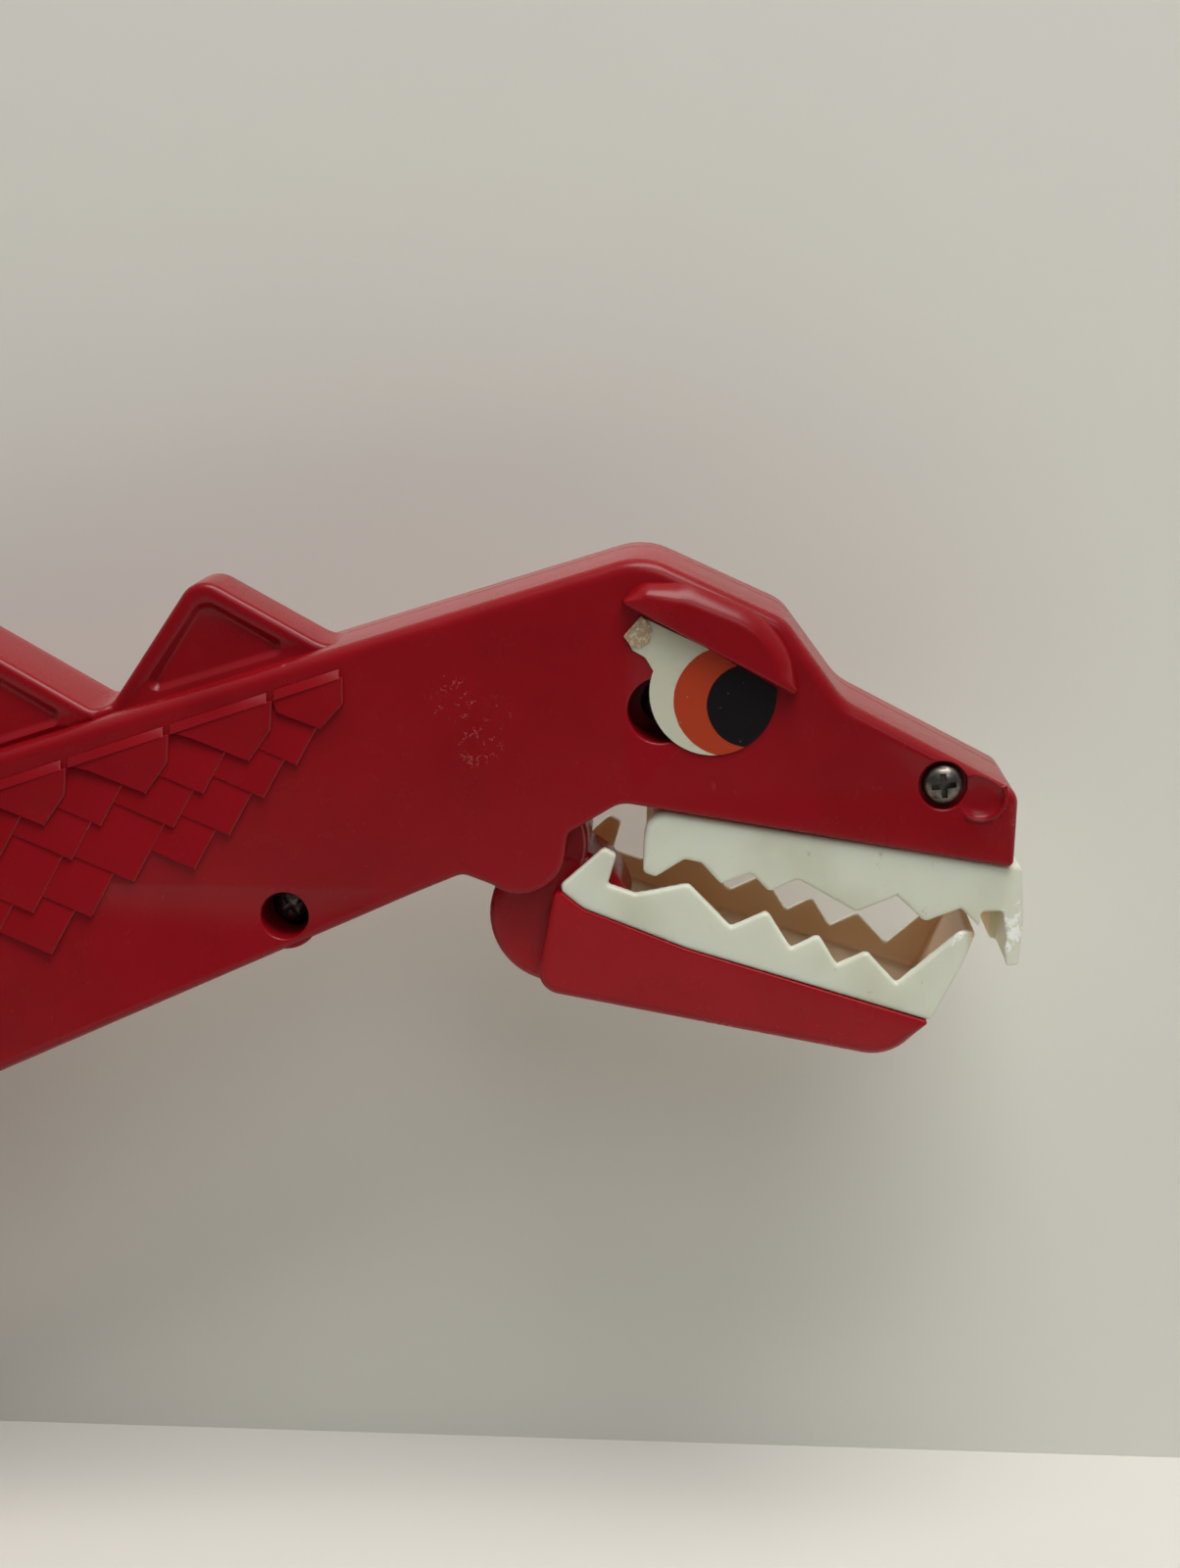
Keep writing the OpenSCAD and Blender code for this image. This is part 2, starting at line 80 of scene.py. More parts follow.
def middle_of(node):
    """The centre of a CAD node's box."""
    low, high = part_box(node)
    return (low + high) / 2


# Half thicknesses across the toy, the joint between the halves, and walls
HALF = 12.0
SEAM = span("right_shell")[1]
WALL = 2.0
TEETH_HALF = span("lower_teeth")[1]
TOOTH_WALL = 1.6
JAW_HALF = span("lower_jaw")[1]
TRAY_WALL = 1.8
HUB_HALF = 7.5
TRIGGER_HALF = span("trigger")[1]
# Room on each side of a part that turns in a slot
SLOT_ROOM = 0.3
# Keeps the flat sides of joined parts out of one plane
FLAT_GAP = 0.08


def place(x, y, z):
    return Vector((JAW.x + x * MM, y * MM, JAW.z + z * MM))


def behind(corners):
    """Moves corners that are given from the trigger's hinge."""
    dx, dz = (TRIGGER.x - JAW.x) / MM, (TRIGGER.z - JAW.z) / MM
    return [(c[0] + dx, c[1] + dz, *c[2:]) for c in corners]


# ---- outlines ----------------------------------------------------------------------------------


# Degrees between the points of a turned corner
ARC_STEP = 9.0
# How far a point may move inwards: a share of a turned corner's radius, or freely
ROOM_SHARE, FREE = 0.92, 99.0
# The smallest cosine between a corner's way inwards and a side's, which keeps spikes short
LEAST_LEAN = 0.6


class Outline:
    """A closed side outline from corners of (x, z, corner radius, edge radius)."""

    def __init__(self, corners):
        pairs = zip(corners, corners[1:] + corners[:1])
        clockwise = sum(a[0] * b[1] - b[0] * a[1] for a, b in pairs) < 0
        corners = corners[::-1] if clockwise else corners
        self.points, self.edges, self.rooms = [], [], []
        for i, here in enumerate(corners):
            self.add_corner(corners[i - 1], here, corners[(i + 1) % len(corners)])
        self.inward = []
        for i, here in enumerate(self.points):
            before = (here - self.points[i - 1]).normalized()
            after = (self.points[(i + 1) % len(self.points)] - here).normalized()
            way = Vector((-before.y - after.y, before.x + after.x))
            way.normalize()
            lean = max(LEAST_LEAN, way.dot(Vector((-before.y, before.x))))
            self.inward.append(way / lean)

    def add_corner(self, before, here, after):
        """One corner, turned on its radius."""
        a, b, c = (Vector(p[:2]) for p in (before, here, after))
        u, v = (a - b).normalized(), (c - b).normalized()
        radius, edge = here[2], here[3]
        if radius <= 0:
            self.add_point(b, edge, FREE)
            return
        convex = (-u).cross(v) > 0
        half = math.acos(max(-1, min(1, u.dot(v)))) / 2
        room = radius * ROOM_SHARE if convex else FREE
        middle = b + (u + v).normalized() * radius / math.sin(half)
        start = b + u * radius / math.tan(half) - middle
        sweep = (math.pi - 2 * half) * (1 if convex else -1)
        steps = max(2, math.ceil(abs(math.degrees(sweep)) / ARC_STEP))
        for i in range(steps + 1):
            self.add_point(middle + Matrix.Rotation(sweep * i / steps, 2) @ start, edge, room)

    def add_point(self, point, edge, room):
        self.points.append(point)
        self.edges.append(min(edge, room))
        self.rooms.append(room)

    def inset(self, distance=0.0, share=0.0):
        """The outline moved inwards by a distance and by a share of its edge radii."""
        moves = [min(distance + share * e, r) for e, r in zip(self.edges, self.rooms)]
        return [p + w * m for p, w, m in zip(self.points, self.inward, moves)]


def circle(x, z, radius, edge=0.0, steps=40):
    """A round outline."""
    angles = [math.tau * i / steps for i in range(steps)]
    return Outline([(x + radius * math.cos(a), z + radius * math.sin(a), 0, edge) for a in angles])


def sharp(corners):
    """Corners of (x, z) with neither a corner radius nor an edge radius."""
    return [(x, z, 0, 0) for x, z in corners]


def arc(radius, start, stop, edge, step=12):
    """Corners along an arc about the jaw's hinge."""
    count = round(abs(stop - start) / step)
    angles = [math.radians(start + (stop - start) * i / count) for i in range(count + 1)]
    return [(radius * math.cos(a), radius * math.sin(a), 0, edge) for a in angles]


def set_in(corners, distances):
    """Corners of a polygon whose side i, from corner i to the next, has moved inwards."""
    lines = []
    for i, here in enumerate(corners):
        a, b = Vector(here[:2]), Vector(corners[(i + 1) % len(corners)][:2])
        along = (b - a).normalized()
        lines.append((a + Vector((-along.y, along.x)) * distances[i], along))
    made = []
    for i, here in enumerate(corners):
        (p, u), (q, v) = lines[i - 1], lines[i]
        made.append((*(p + u * ((q - p).cross(v) / u.cross(v))), *here[2:]))
    return made


# ---- closed forms ------------------------------------------------------------------------------


def inside(point, loop):
    """Whether a flat point lies in a closed loop."""
    hit = False
    for a, b in zip(loop, loop[1:] + loop[:1]):
        if (a.y > point.y) != (b.y > point.y):
            hit ^= point.x < a.x + (point.y - a.y) * (b.x - a.x) / (b.y - a.y)
    return hit


# Points nearer than this, in millimetres, are one point to the filler of flat faces
SAME_POINT = 1e-5
# A flat face's own ring lies this far inside the rounded edge
FACE_INSET = 0.35


class Form:
    """The points and faces of a closed piece that is built ring by ring across the toy."""

    def __init__(self):
        self.points, self.faces = [], []

    def loop(self, points):
        """Adds a closed row of points."""
        first = len(self.points)
        self.points += points
        return list(range(first, len(self.points)))

    def ring(self, flat, y):
        """Adds a side outline's points at one y, or at one y for each point."""
        depths = y if isinstance(y, list) else [y] * len(flat)
        return self.loop([place(p.x, d, p.y) for p, d in zip(flat, depths)])

    def skin(self, rings):
        """Joins each ring to the next."""
        for low, high in zip(rings, rings[1:]):
            for i in range(len(low)):
                j = (i + 1) % len(low)
                self.faces.append((low[i], low[j], high[j], high[i]))

    def cap(self, ring, holes=()):
        """Fills a ring, round any holes."""
        loops = [ring, *holes]
        used = [i for loop in loops for i in loop]
        flat = [Vector((self.points[i].x, self.points[i].z)) / MM for i in used]
        edges, cuts, first = [], [], 0
        for loop in loops:
            count = len(loop)
            edges += [(first + i, first + (i + 1) % count) for i in range(count)]
            cuts.append(flat[first:first + count])
            first += count
        points, _, triangles, origins, _, _ = delaunay_2d_cdt(flat, edges, [], 0, SAME_POINT)
        for triangle in triangles:
            middle = sum((points[i] for i in triangle), Vector((0, 0))) / 3
            if inside(middle, cuts[0]) and not any(inside(middle, cut) for cut in cuts[1:]):
                self.faces.append(tuple(used[origins[i][0]] for i in triangle))

    def closed(self, name, rings):
        """Skins the rings, fills both ends and builds the piece."""
        self.skin(rings)
        self.cap(rings[0])
        self.cap(rings[-1])
        return self.build(name)

    def build(self, name):
        mesh = bpy.data.meshes.new(name)
        mesh.from_pydata(self.points, [], self.faces)
        return new_object(name, mesh)


def rounded_rings(form, outline, y, way, steps=5):
    """Rings over a rounded edge, from the flat face at y to the side wall."""
    rings = [form.ring(outline.inset(FACE_INSET, 1), y)]
    for i in range(steps + 1):
        angle = math.pi / 2 * i / steps
        depths = [y + way * e * (1 - math.cos(angle)) for e in outline.edges]
        rings.append(form.ring(outline.inset(0, 1 - math.sin(angle)), depths))
    return rings


def slab(name, outline, low, high, round_low=True, round_high=True):
    """A solid with a side outline, between two planes across the toy, with rounded edges."""
    form = Form()
    rings = rounded_rings(form, outline, low, 1) if round_low else [form.ring(outline.inset(), low)]
    ends = rounded_rings(form, outline, high, -1) if round_high else [form.ring(outline.inset(), high)]
    return form.closed(name, rings + ends[::-1])


def turned(name, x, z, profile, steps=40):
    """A piece turned about an axis across the toy, from a profile of (radius, y) with ends on the axis."""
    form = Form()
    rings = []
    for radius, y in profile:
        rings.append(form.ring(circle(x, z, radius, steps=steps).points, y))
    return form.closed(name, rings)


# ---- finishing ---------------------------------------------------------------------------------


def new_object(name, data):
    """Puts an object with its data into the scene."""
    made = bpy.data.objects.new(name, data)
    bpy.context.scene.collection.objects.link(made)
    return made


def bake(piece):
    """Turns a piece with its modifiers into a plain mesh."""
    view = bpy.context.evaluated_depsgraph_get()
    mesh = bpy.data.meshes.new_from_object(piece.evaluated_get(view))
    piece.modifiers.clear()
    piece.data = mesh


def combine(piece, tool, operation):
    """Cuts or joins a piece with a tool, and takes the tool away."""
    change = piece.modifiers.new(operation, "BOOLEAN")
    change.operation = operation
    change.solver = "EXACT"
    change.object = tool
    bake(piece)
    bpy.data.objects.remove(tool)


def cut(piece, tool):
    """Takes a tool's room out of a piece."""
    tidy(tool)
    combine(piece, tool, "DIFFERENCE")


def join(name, pieces):
    """Puts closed pieces into one object."""
    whole = bmesh.new()
    for piece in pieces:
        whole.from_mesh(piece.data)
        bpy.data.objects.remove(piece)
    mesh = bpy.data.meshes.new(name)
    whole.to_mesh(mesh)
    whole.free()
    return new_object(name, mesh)


# Distances in metres below which points are doubles and edges are slivers
DOUBLE, SLIVER = 2e-6, 1e-6
# Degrees above which an edge is shaded sharp, on most pieces and on the melted and small ones
CREASE, SOFT_CREASE, SCREW_CREASE = 35, 60, 40


def tidy(piece, crease=CREASE):
    """Merges doubles, turns faces outwards and shades smooth below the angle of a crease."""
    work = bmesh.new()
    work.from_mesh(piece.data)
    bmesh.ops.remove_doubles(work, verts=work.verts, dist=DOUBLE)
    bmesh.ops.dissolve_degenerate(work, edges=work.edges, dist=SLIVER)
    bmesh.ops.recalc_face_normals(work, faces=work.faces)
    work.to_mesh(piece.data)
    work.free()
    piece.data.polygons.foreach_set("use_smooth", [True] * len(piece.data.polygons))
    piece.data.set_sharp_from_angle(angle=math.radians(crease))


def finish(piece, body, material, nodes=(), crease=CREASE):
    """Cleans a piece, gives it its material and sets it on its body."""
    tidy(piece, crease)
    piece.data.materials.clear()
    piece.data.materials.append(material)
    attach(piece, body)
    if nodes:
        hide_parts(*nodes)


def remesh(piece):
    """Melts a piece into one skin with softened edges."""
    skin = piece.modifiers.new("skin", "REMESH")
    skin.mode = "VOXEL"
    skin.voxel_size = TOOTH_VOXEL * MM
    soften = piece.modifiers.new("soften", "SMOOTH")
    soften.factor = 0.5
    soften.iterations = SOFTENINGS
    bake(piece)


# ---- shader groups -----------------------------------------------------------------------------


class Graph:
    """Adds nodes to a material or a group with few words."""

    def __init__(self, tree):
        self.tree, self.shader = tree, None

    def add(self, kind, inputs=None, **settings):
        node = self.tree.nodes.new(kind)
        for key, value in settings.items():
            setattr(node, key, value)
        for key, value in (inputs or {}).items():
            self.feed(node.inputs[key], value)
        return node

    def out(self, kind, inputs=None, **settings):
        """Adds a node and gives its first output."""
        return self.add(kind, inputs, **settings).outputs[0]

    def feed(self, socket, value):
        if isinstance(value, bpy.types.NodeSocket):
            self.tree.links.new(value, socket)
        else:
            socket.default_value = value

    def paint(self, socket, value):
        """Feeds the material's own shader."""
        self.feed(self.shader.inputs[socket], value)

    def bump(self, height, distance, strength):
        settings = {"Height": height, "Distance": distance, "Strength": strength}
        self.paint("Normal", self.out("ShaderNodeBump", settings))

    def math(self, operation, a, b=0.0, clamp=False):
        return self.out("ShaderNodeMath", {0: a, 1: b}, operation=operation, use_clamp=clamp)

    def times(self, a, b):
        return self.math("MULTIPLY", a, b)

    def plus(self, a, b):
        return self.math("ADD", a, b)

    def most(self, a, b):
        return self.math("MAXIMUM", a, b)

    def part(self, where, axis):
        return self.add("ShaderNodeSeparateXYZ", {0: where}).outputs[axis]

    def flattened(self, where):
        """The point with its place across the toy left out."""
        return self.out("ShaderNodeVectorMath", {0: where, 1: (1, 0, 1)}, operation="MULTIPLY")

    def mix(self, factor, a, b):
        return self.add("ShaderNodeMix", {0: factor, 6: a, 7: b}, data_type="RGBA").outputs[2]

    def ramp(self, value, low, high):
        """0 below low, 1 above high, smooth between."""
        settings = {"Value": value, "From Min": low, "From Max": high}
        return self.out("ShaderNodeMapRange", settings, interpolation_type="SMOOTHSTEP")

    def noise(self, where, scale, detail=3.0, rough=0.55):
        """Cloudy noise from 0 to 1. Its scale is in waves to the metre."""
        settings = {"Vector": where, "Scale": scale, "Detail": detail, "Roughness": rough}
        return self.out("ShaderNodeTexNoise", settings)

    def distance(self, where, centre):
        node = self.add("ShaderNodeVectorMath", {0: where, 1: centre}, operation="DISTANCE")
        return node.outputs["Value"]


FLOAT, VECTOR = "NodeSocketFloat", "NodeSocketVector"


def shader_group(name, **inputs):
    """The graph of an empty shader group, its point, its other inputs and its output."""
    tree = bpy.data.node_groups.new(name, "ShaderNodeTree")
    for label, value in {"Vector": None, **inputs}.items():
        kind = VECTOR if value is None else FLOAT
        socket = tree.interface.new_socket(label, in_out="INPUT", socket_type=kind)
        if value is not None:
            socket.default_value = value
    tree.interface.new_socket("Value", in_out="OUTPUT", socket_type=FLOAT)
    graph = Graph(tree)
    given = graph.add("NodeGroupInput").outputs
    return graph, given["Vector"], given, graph.add("NodeGroupOutput").inputs["Value"]


def make_skin_group():
    """The slight waviness and fine texture of a moulded surface."""
    graph, where, given, height = shader_group("moulded_skin", Wave=1.0, Grain=1.0)
    wave = graph.times(graph.noise(where, 55, 2), given["Wave"])
    grain = graph.times(graph.noise(where, 2600, 2), given["Grain"])
    graph.feed(height, graph.plus(wave, graph.times(grain, 0.06)))


def make_scratch_group():
    """Fine pale nicks and short scratches, thinly strewn."""
    graph, where, given, mask = shader_group("strewn_nicks", Amount=0.5)
    settings = {"Vector": where, "Rotation": (0.3, 0.7, 0.2), "Scale": (1.0, 1.0, 0.35)}
    turned_round = graph.out("ShaderNodeMapping", settings)
    cells = graph.add("ShaderNodeTexVoronoi", {"Vector": turned_round, "Scale": 260.0})
    spots = graph.ramp(cells.outputs["Distance"], 0.12, 0.05)
    few = graph.ramp(graph.noise(where, 70, 2), 0.62, 0.7)
    graph.feed(mask, graph.times(graph.times(spots, few), given["Amount"]))


def make_patch_group():
    """A ragged patch round a centre."""
    graph, where, given, mask = shader_group("ragged_patch", Centre=None, Radius=0.005)
    away = graph.distance(where, given["Centre"])
    near = graph.math("SUBTRACT", 1.0, graph.math("DIVIDE", away, given["Radius"]), clamp=True)
    ragged = graph.noise(where, 520, 4, 0.7)
    threads = graph.ramp(graph.plus(graph.times(near, 0.22), ragged), 0.62, 0.7)
    graph.feed(mask, graph.times(threads, graph.ramp(near, 0.0, 0.25)))


def make_hair_group():
    """Fine curled scratches, broken into short strokes, round a centre."""
    graph, where, given, mask = shader_group("curled_scratches", Centre=None, Radius=0.005)
    away = graph.math("DIVIDE", graph.distance(where, given["Centre"]), given["Radius"])
    wander = graph.math("SUBTRACT", graph.noise(where, 520, 3, 0.6), 0.5)
    strokes = graph.ramp(graph.math("ABSOLUTE", wander), 0.012, 0.003)
    broken = graph.ramp(graph.noise(where, 950, 2), 0.5, 0.58)
    graph.feed(mask, graph.times(graph.times(strokes, broken), graph.ramp(away, 1.0, 0.5)))


def group(graph, name, **inputs):
    """The output of a shader group that is given its inputs by name."""
    return graph.out("ShaderNodeGroup", inputs, node_tree=bpy.data.node_groups[name])


def new_material(name, **sockets):
    """A material, its graph with a principled shader, and its object coordinates."""
    material = bpy.data.materials.new(name)
    material.use_nodes = True
    material.node_tree.nodes.clear()
    graph = Graph(material.node_tree)
    values = {key.replace("_", " "): value for key, value in sockets.items()}
    graph.shader = graph.add("ShaderNodeBsdfPrincipled", values)
    graph.add("ShaderNodeOutputMaterial", {"Surface": graph.shader.outputs[0]})
    where = graph.add("ShaderNodeTexCoord").outputs["Object"]
    return material, graph, where


# ---- materials ---------------------------------------------------------------------------------

RED = (0.235, 0.0034, 0.0078, 1)
RED_DEEP = (0.195, 0.0026, 0.0062, 1)
# The jaw's reds are the case's reds made lighter: painted light for the stronger light on the jaw
JAW_RED_PAINTED_LIGHT = (0.30, 0.0046, 0.010, 1)
JAW_RED_DEEP_PAINTED_LIGHT = (0.255, 0.0037, 0.0082, 1)
# The pale ring about the jaw's hinge: its radius, and the heights between which it fades out downwards
WORN_RING, RING_GONE, RING_FULL = 9.2, -4, -2
SCRATCH_PALE = (0.50, 0.20, 0.17, 1)
# Scuffs on the neck and the nose: x, z and radius
SCUFFS = [(-9.5, 22.4, 4.6), (-2.6, 20.4, 3.0), (-5.6, 15.2, 4.0), (68.6, 12.4, 2.6), (69.4, 6.0, 2.2)]


def red_plastic(name, red, deep, worn=0.0):
    """Semi-gloss red plastic, scuffed on the neck and, where it's worn, in a ring about the jaw's hinge."""
    material, graph, where = new_material(name, Specular_IOR_Level=0.22)
    cloudy = graph.noise(where, 38, 3)
    colour = graph.mix(graph.ramp(cloudy, 0.35, 0.7), red, deep)
    nicks = group(graph, "strewn_nicks", Vector=where, Amount=0.5)
    marks = graph.times(nicks, 0.5)
    for x, z, radius in SCUFFS:
        centre = place(x, -HALF, z)
        scuff = group(graph, "curled_scratches", Vector=where, Centre=centre, Radius=radius * MM)
        marks = graph.most(marks, graph.times(scuff, 0.5))
    flat = graph.flattened(where)
    off_ring = graph.math("SUBTRACT", graph.distance(flat, place(0, 0, 0)), WORN_RING * MM)
    ring = graph.ramp(graph.math("ABSOLUTE", off_ring), 0.00022, 0.00006)
    upper = graph.ramp(graph.part(where, "Z"), place(0, 0, RING_GONE).z, place(0, 0, RING_FULL).z)
    ring = graph.times(ring, upper)
    marks = graph.most(marks, graph.times(ring, worn))
    graph.paint("Base Color", graph.mix(marks, colour, SCRATCH_PALE))
    rub = graph.times(graph.noise(where, 240, 4), 0.12)
    rough = graph.plus(graph.plus(rub, 0.2), graph.times(marks, 0.3))
    graph.paint("Roughness", rough)
    height = group(graph, "moulded_skin", Vector=where, Wave=1.0, Grain=0.5)
    graph.bump(graph.math("SUBTRACT", height, graph.times(marks, 0.3)), 0.00025, 0.5)
    return material


WHITE = (0.62, 0.655, 0.545, 1)
WHITE_DULL = (0.53, 0.545, 0.43, 1)
STAIN = (0.36, 0.27, 0.18, 1)
# Painted shade: a warm tan on the teeth's inner faces, for the shade in the hollow and the red light bounced
# and let through there
INNER_PAINTED_SHADE = (0.80, 0.60, 0.42, 1)
STRESS = (0.88, 0.89, 0.86, 1)
# Places, x and z, and radii of the whitened plastic on the front fangs
STRESS_SPOTS = ((71.5, -12, 6.0), (63.5, -12, 2.4))
# Where the painted inner shade starts and is full, from the hollow's side, and where it ends behind the
# front wall
SHADE_FROM, SHADE_FULL, SHADE_FRONT, SHADE_BACK = 0.45, 0.15, 70.8, 70.2


def tooth_plastic():
    """White plastic with grime, painted tan shade on the hollow's inner faces, and stress marks at the front
    fangs.
    """
    material, graph, where = new_material("white_plastic", Specular_IOR_Level=0.35,
                                                  Subsurface_Weight=0.3, Subsurface_Scale=0.004,
                                                  Subsurface_Radius=(1.0, 0.75, 0.5))
    colour = graph.mix(graph.ramp(graph.noise(where, 60, 3), 0.4, 0.75), WHITE, WHITE_DULL)
    grime = graph.ramp(graph.noise(where, 420, 4, 0.65), 0.66, 0.74)
    colour = graph.mix(graph.times(grime, 0.45), colour, STAIN)
    hollow = TEETH_HALF - TOOTH_WALL
    across = graph.math("ABSOLUTE", graph.part(where, "Y"))
    inner = graph.ramp(across, (hollow + SHADE_FROM) * MM, (hollow + SHADE_FULL) * MM)
    front = graph.part(where, "X")
    behind_front = graph.ramp(front, place(SHADE_FRONT, 0, 0).x, place(SHADE_BACK, 0, 0).x)
    inner = graph.times(inner, behind_front)
    # Paints the tan shade onto the inner faces of the hollow
    colour = graph.mix(graph.times(inner, 0.85), colour, INNER_PAINTED_SHADE)
    cracked = 0.0
    for x, z, radius in STRESS_SPOTS:
        centre = place(x, -TEETH_HALF, z)
        patch = group(graph, "ragged_patch", Vector=where, Centre=centre, Radius=radius * MM)
        cracked = graph.most(cracked, patch)
    colour = graph.mix(graph.times(cracked, 0.8), colour, STRESS)
    graph.paint("Base Color", colour)
    rough = graph.plus(graph.times(graph.noise(where, 300, 3), 0.16), 0.26)
    graph.paint("Roughness", rough)
    height = group(graph, "moulded_skin", Vector=where, Wave=0.8, Grain=0.4)
    graph.bump(graph.plus(height, graph.times(cracked, 0.5)), 0.0002, 0.5)
    return material


def darker(colour, share):
    return tuple(c * share for c in colour[:3]) + (1,)


def rod_plastic():
    material, graph, where = new_material("rod_plastic", Specular_IOR_Level=0.4)
    colour = graph.mix(graph.noise(where, 90, 3), ROD_PALE, darker(ROD_PALE, 0.8))
    graph.paint("Base Color", colour)
    rub = graph.times(graph.noise(where, 260, 3), 0.2)
    graph.paint("Roughness", graph.plus(rub, 0.4))
    graph.bump(group(graph, "moulded_skin", Vector=where, Wave=0.6, Grain=0.6), 0.0002, 0.5)
    return material


def steel(name, colour, dull):
    """Dulled steel: fine turning marks and patches of tarnish."""
    material, graph, where = new_material(name, Metallic=1.0)
    tarnish = graph.ramp(graph.noise(where, 700, 4, 0.65), 0.4, 0.65)
    graph.paint("Base Color", graph.mix(tarnish, colour, dull))
    rough = graph.plus(graph.times(tarnish, 0.25), 0.3)
    graph.paint("Roughness", rough)
    graph.bump(graph.noise(where, 1800, 3), 0.00005, 0.6)
    return material


ROD_PALE = (0.6, 0.6, 0.57, 1)
PIN_STEEL, PIN_DULL = (0.55, 0.54, 0.52, 1), (0.38, 0.36, 0.34, 1)
SCREW_STEEL, SCREW_DULL = (0.17, 0.155, 0.135, 1), (0.06, 0.052, 0.044, 1)
STICKER_WHITE = (0.50, 0.50, 0.39, 1)
STICKER_ORANGE = (0.36, 0.040, 0.014, 1)
STICKER_BLACK = (0.006, 0.0045, 0.0055, 1)
STICKER_SHADE = (0.43, 0.42, 0.32, 1)
# The printed rounds on the white: x, z, radius and ink
EYE_ROUNDS = ((30.0, 22.2, 8.0, STICKER_ORANGE), (32.7, 21.6, 6.0, STICKER_BLACK))
PAPER_DARK, PAPER_PALE = (0.36, 0.26, 0.15, 1), (0.6, 0.52, 0.36, 1)


def sticker_print(hand):
    """The printed eye: a white round, an orange round and a black pupil, each set further forward."""
    material, graph, where = new_material("sticker_" + hand, Specular_IOR_Level=0.15)
    colour = graph.mix(graph.ramp(graph.noise(where, 300, 4), 0.5, 0.8), STICKER_WHITE, STICKER_SHADE)
    wobble = graph.times(graph.noise(where, 500, 2), 0.00016)
    flat = graph.flattened(where)
    for x, z, radius, ink in EYE_ROUNDS:
        away = graph.plus(graph.distance(flat, place(x, 0, z)), wobble)
        edge = radius * MM
        colour = graph.mix(graph.ramp(away, edge + 0.00012, edge - 0.00002), colour, ink)
    dust = graph.ramp(graph.noise(where, 1900, 3, 0.6), 0.7, 0.76)
    colour = graph.mix(graph.times(dust, 0.35), colour, STICKER_WHITE)
    graph.paint("Base Color", colour)
    graph.paint("Roughness", graph.plus(graph.times(dust, 0.3), 0.36))
    graph.bump(graph.noise(where, 900, 3), 0.00006, 0.5)
    return material


def torn_paper():
    material, graph, where = new_material("torn_paper", Roughness=0.9)
    fibres = graph.ramp(graph.noise(where, 1500, 4, 0.7), 0.4, 0.65)
    graph.paint("Base Color", graph.mix(fibres, PAPER_DARK, PAPER_PALE))
    graph.bump(fibres, 0.0002, 0.8)
    return material


def backdrop(name, colour):
    """A matt painted board's material with faint clouds, and its graph."""
    material, graph, where = new_material(name, Roughness=0.85, Specular_IOR_Level=0.2)
    mottled = graph.mix(graph.noise(where, 9, 4), colour, darker(colour, 0.93))
    graph.paint("Base Color", mottled)
    return material, graph


def one_sided(material, graph):
    """Makes a board clear from behind and to lamps, so that it never hides the toy's far side."""
    behind_it = graph.add("ShaderNodeNewGeometry").outputs["Backfacing"]
    to_lamp = graph.add("ShaderNodeLightPath").outputs["Is Shadow Ray"]
    clear = graph.out("ShaderNodeBsdfTransparent")
    shaders = {0: graph.most(behind_it, to_lamp), 1: graph.shader.outputs[0], 2: clear}
    ends = material.node_tree.get_output_node("ALL")
    graph.feed(ends.inputs["Surface"], graph.out("ShaderNodeMixShader", shaders))
    return material


# ---- case --------------------------------------------------------------------------------------

EDGE = 1.9
MOUTH_EDGE = 0.5

HEAD_TOP = [(70.7, -1.6, 0.8, MOUTH_EDGE), (71.2, 9.2, 3, 1.6), (46.2, 22.2, 8, EDGE),
            (37.7, 33.7, 6, EDGE), (17.45, 42.85, 10, EDGE)]
FOOT = -TRIGGER.z / MM
REAR = behind([(-26, 30.7, 30, EDGE), (-70, 12, 20, EDGE), (-102, 3, 16, EDGE), (-130, 15.5, 2.5, 1.8),
               (-130, 9, 2.5, 1.8), (-100, -16, 14, EDGE), (-76, -34, 10, EDGE), (-72, -54, 20, EDGE),
               (-78, FOOT, 3, 1.5), (-32, FOOT, 3, 1.5), (-38, -60, 20, EDGE), (-33, -28, 8, EDGE)])
NECK_LOW = [(-15.7, -6.8, 6, 1.0), (-8.3, -3.6, 2.5, 0.8)]
LOBE = arc(6.6, -128, -5, 0.8)
MOUTH_CORNER = [(6.9, 2.6, 1.5, MOUTH_EDGE), (14.6, 7.25, 4, MOUTH_EDGE)]
BODY = Outline(HEAD_TOP + REAR + NECK_LOW + LOBE + MOUTH_CORNER)

# How far a tool stands clear of the face that it cuts
CLEAR = 3.0
# Place, radius and depth of the seat of each screw well in the right side
WELLS = [((60.4, 10.3), 3.5, 1.6), ((20.2, 20.7), 4.7, 8), ((-34.4, -10.2), 3.5, 8),
         (behind([(-30, 20)])[0], 3.5, 8), (behind([(-104, -6)])[0], 3.5, 8),
         (behind([(-56, FOOT + 12)])[0], 3.5, 8)]
WELL_RIM = 0.35
# The sleeve of a deep well: how far down it starts, how far it laps into the well, its wall and its floor
SLEEVE_DOWN, SLEEVE_LAP, SLEEVE_WALL, SEAT_FLOOR = 0.6, 0.02, 1.6, 2.2
SCREW_R, SCREW_ROOM = 1.5, 0.2


def well_cutter(x, z, radius, depth):
    """The hollow of a screw well, with a softened rim."""
    rim = radius + WELL_RIM
    profile = [(rim, -HALF - CLEAR), (rim, -HALF)]
    for turn in (math.pi / 6, math.pi / 3, math.pi / 2):
        profile.append((rim - WELL_RIM * math.sin(turn), -HALF + WELL_RIM * (1 - math.cos(turn))))
    return turned("well", x, z, profile + [(radius, -HALF + depth)])


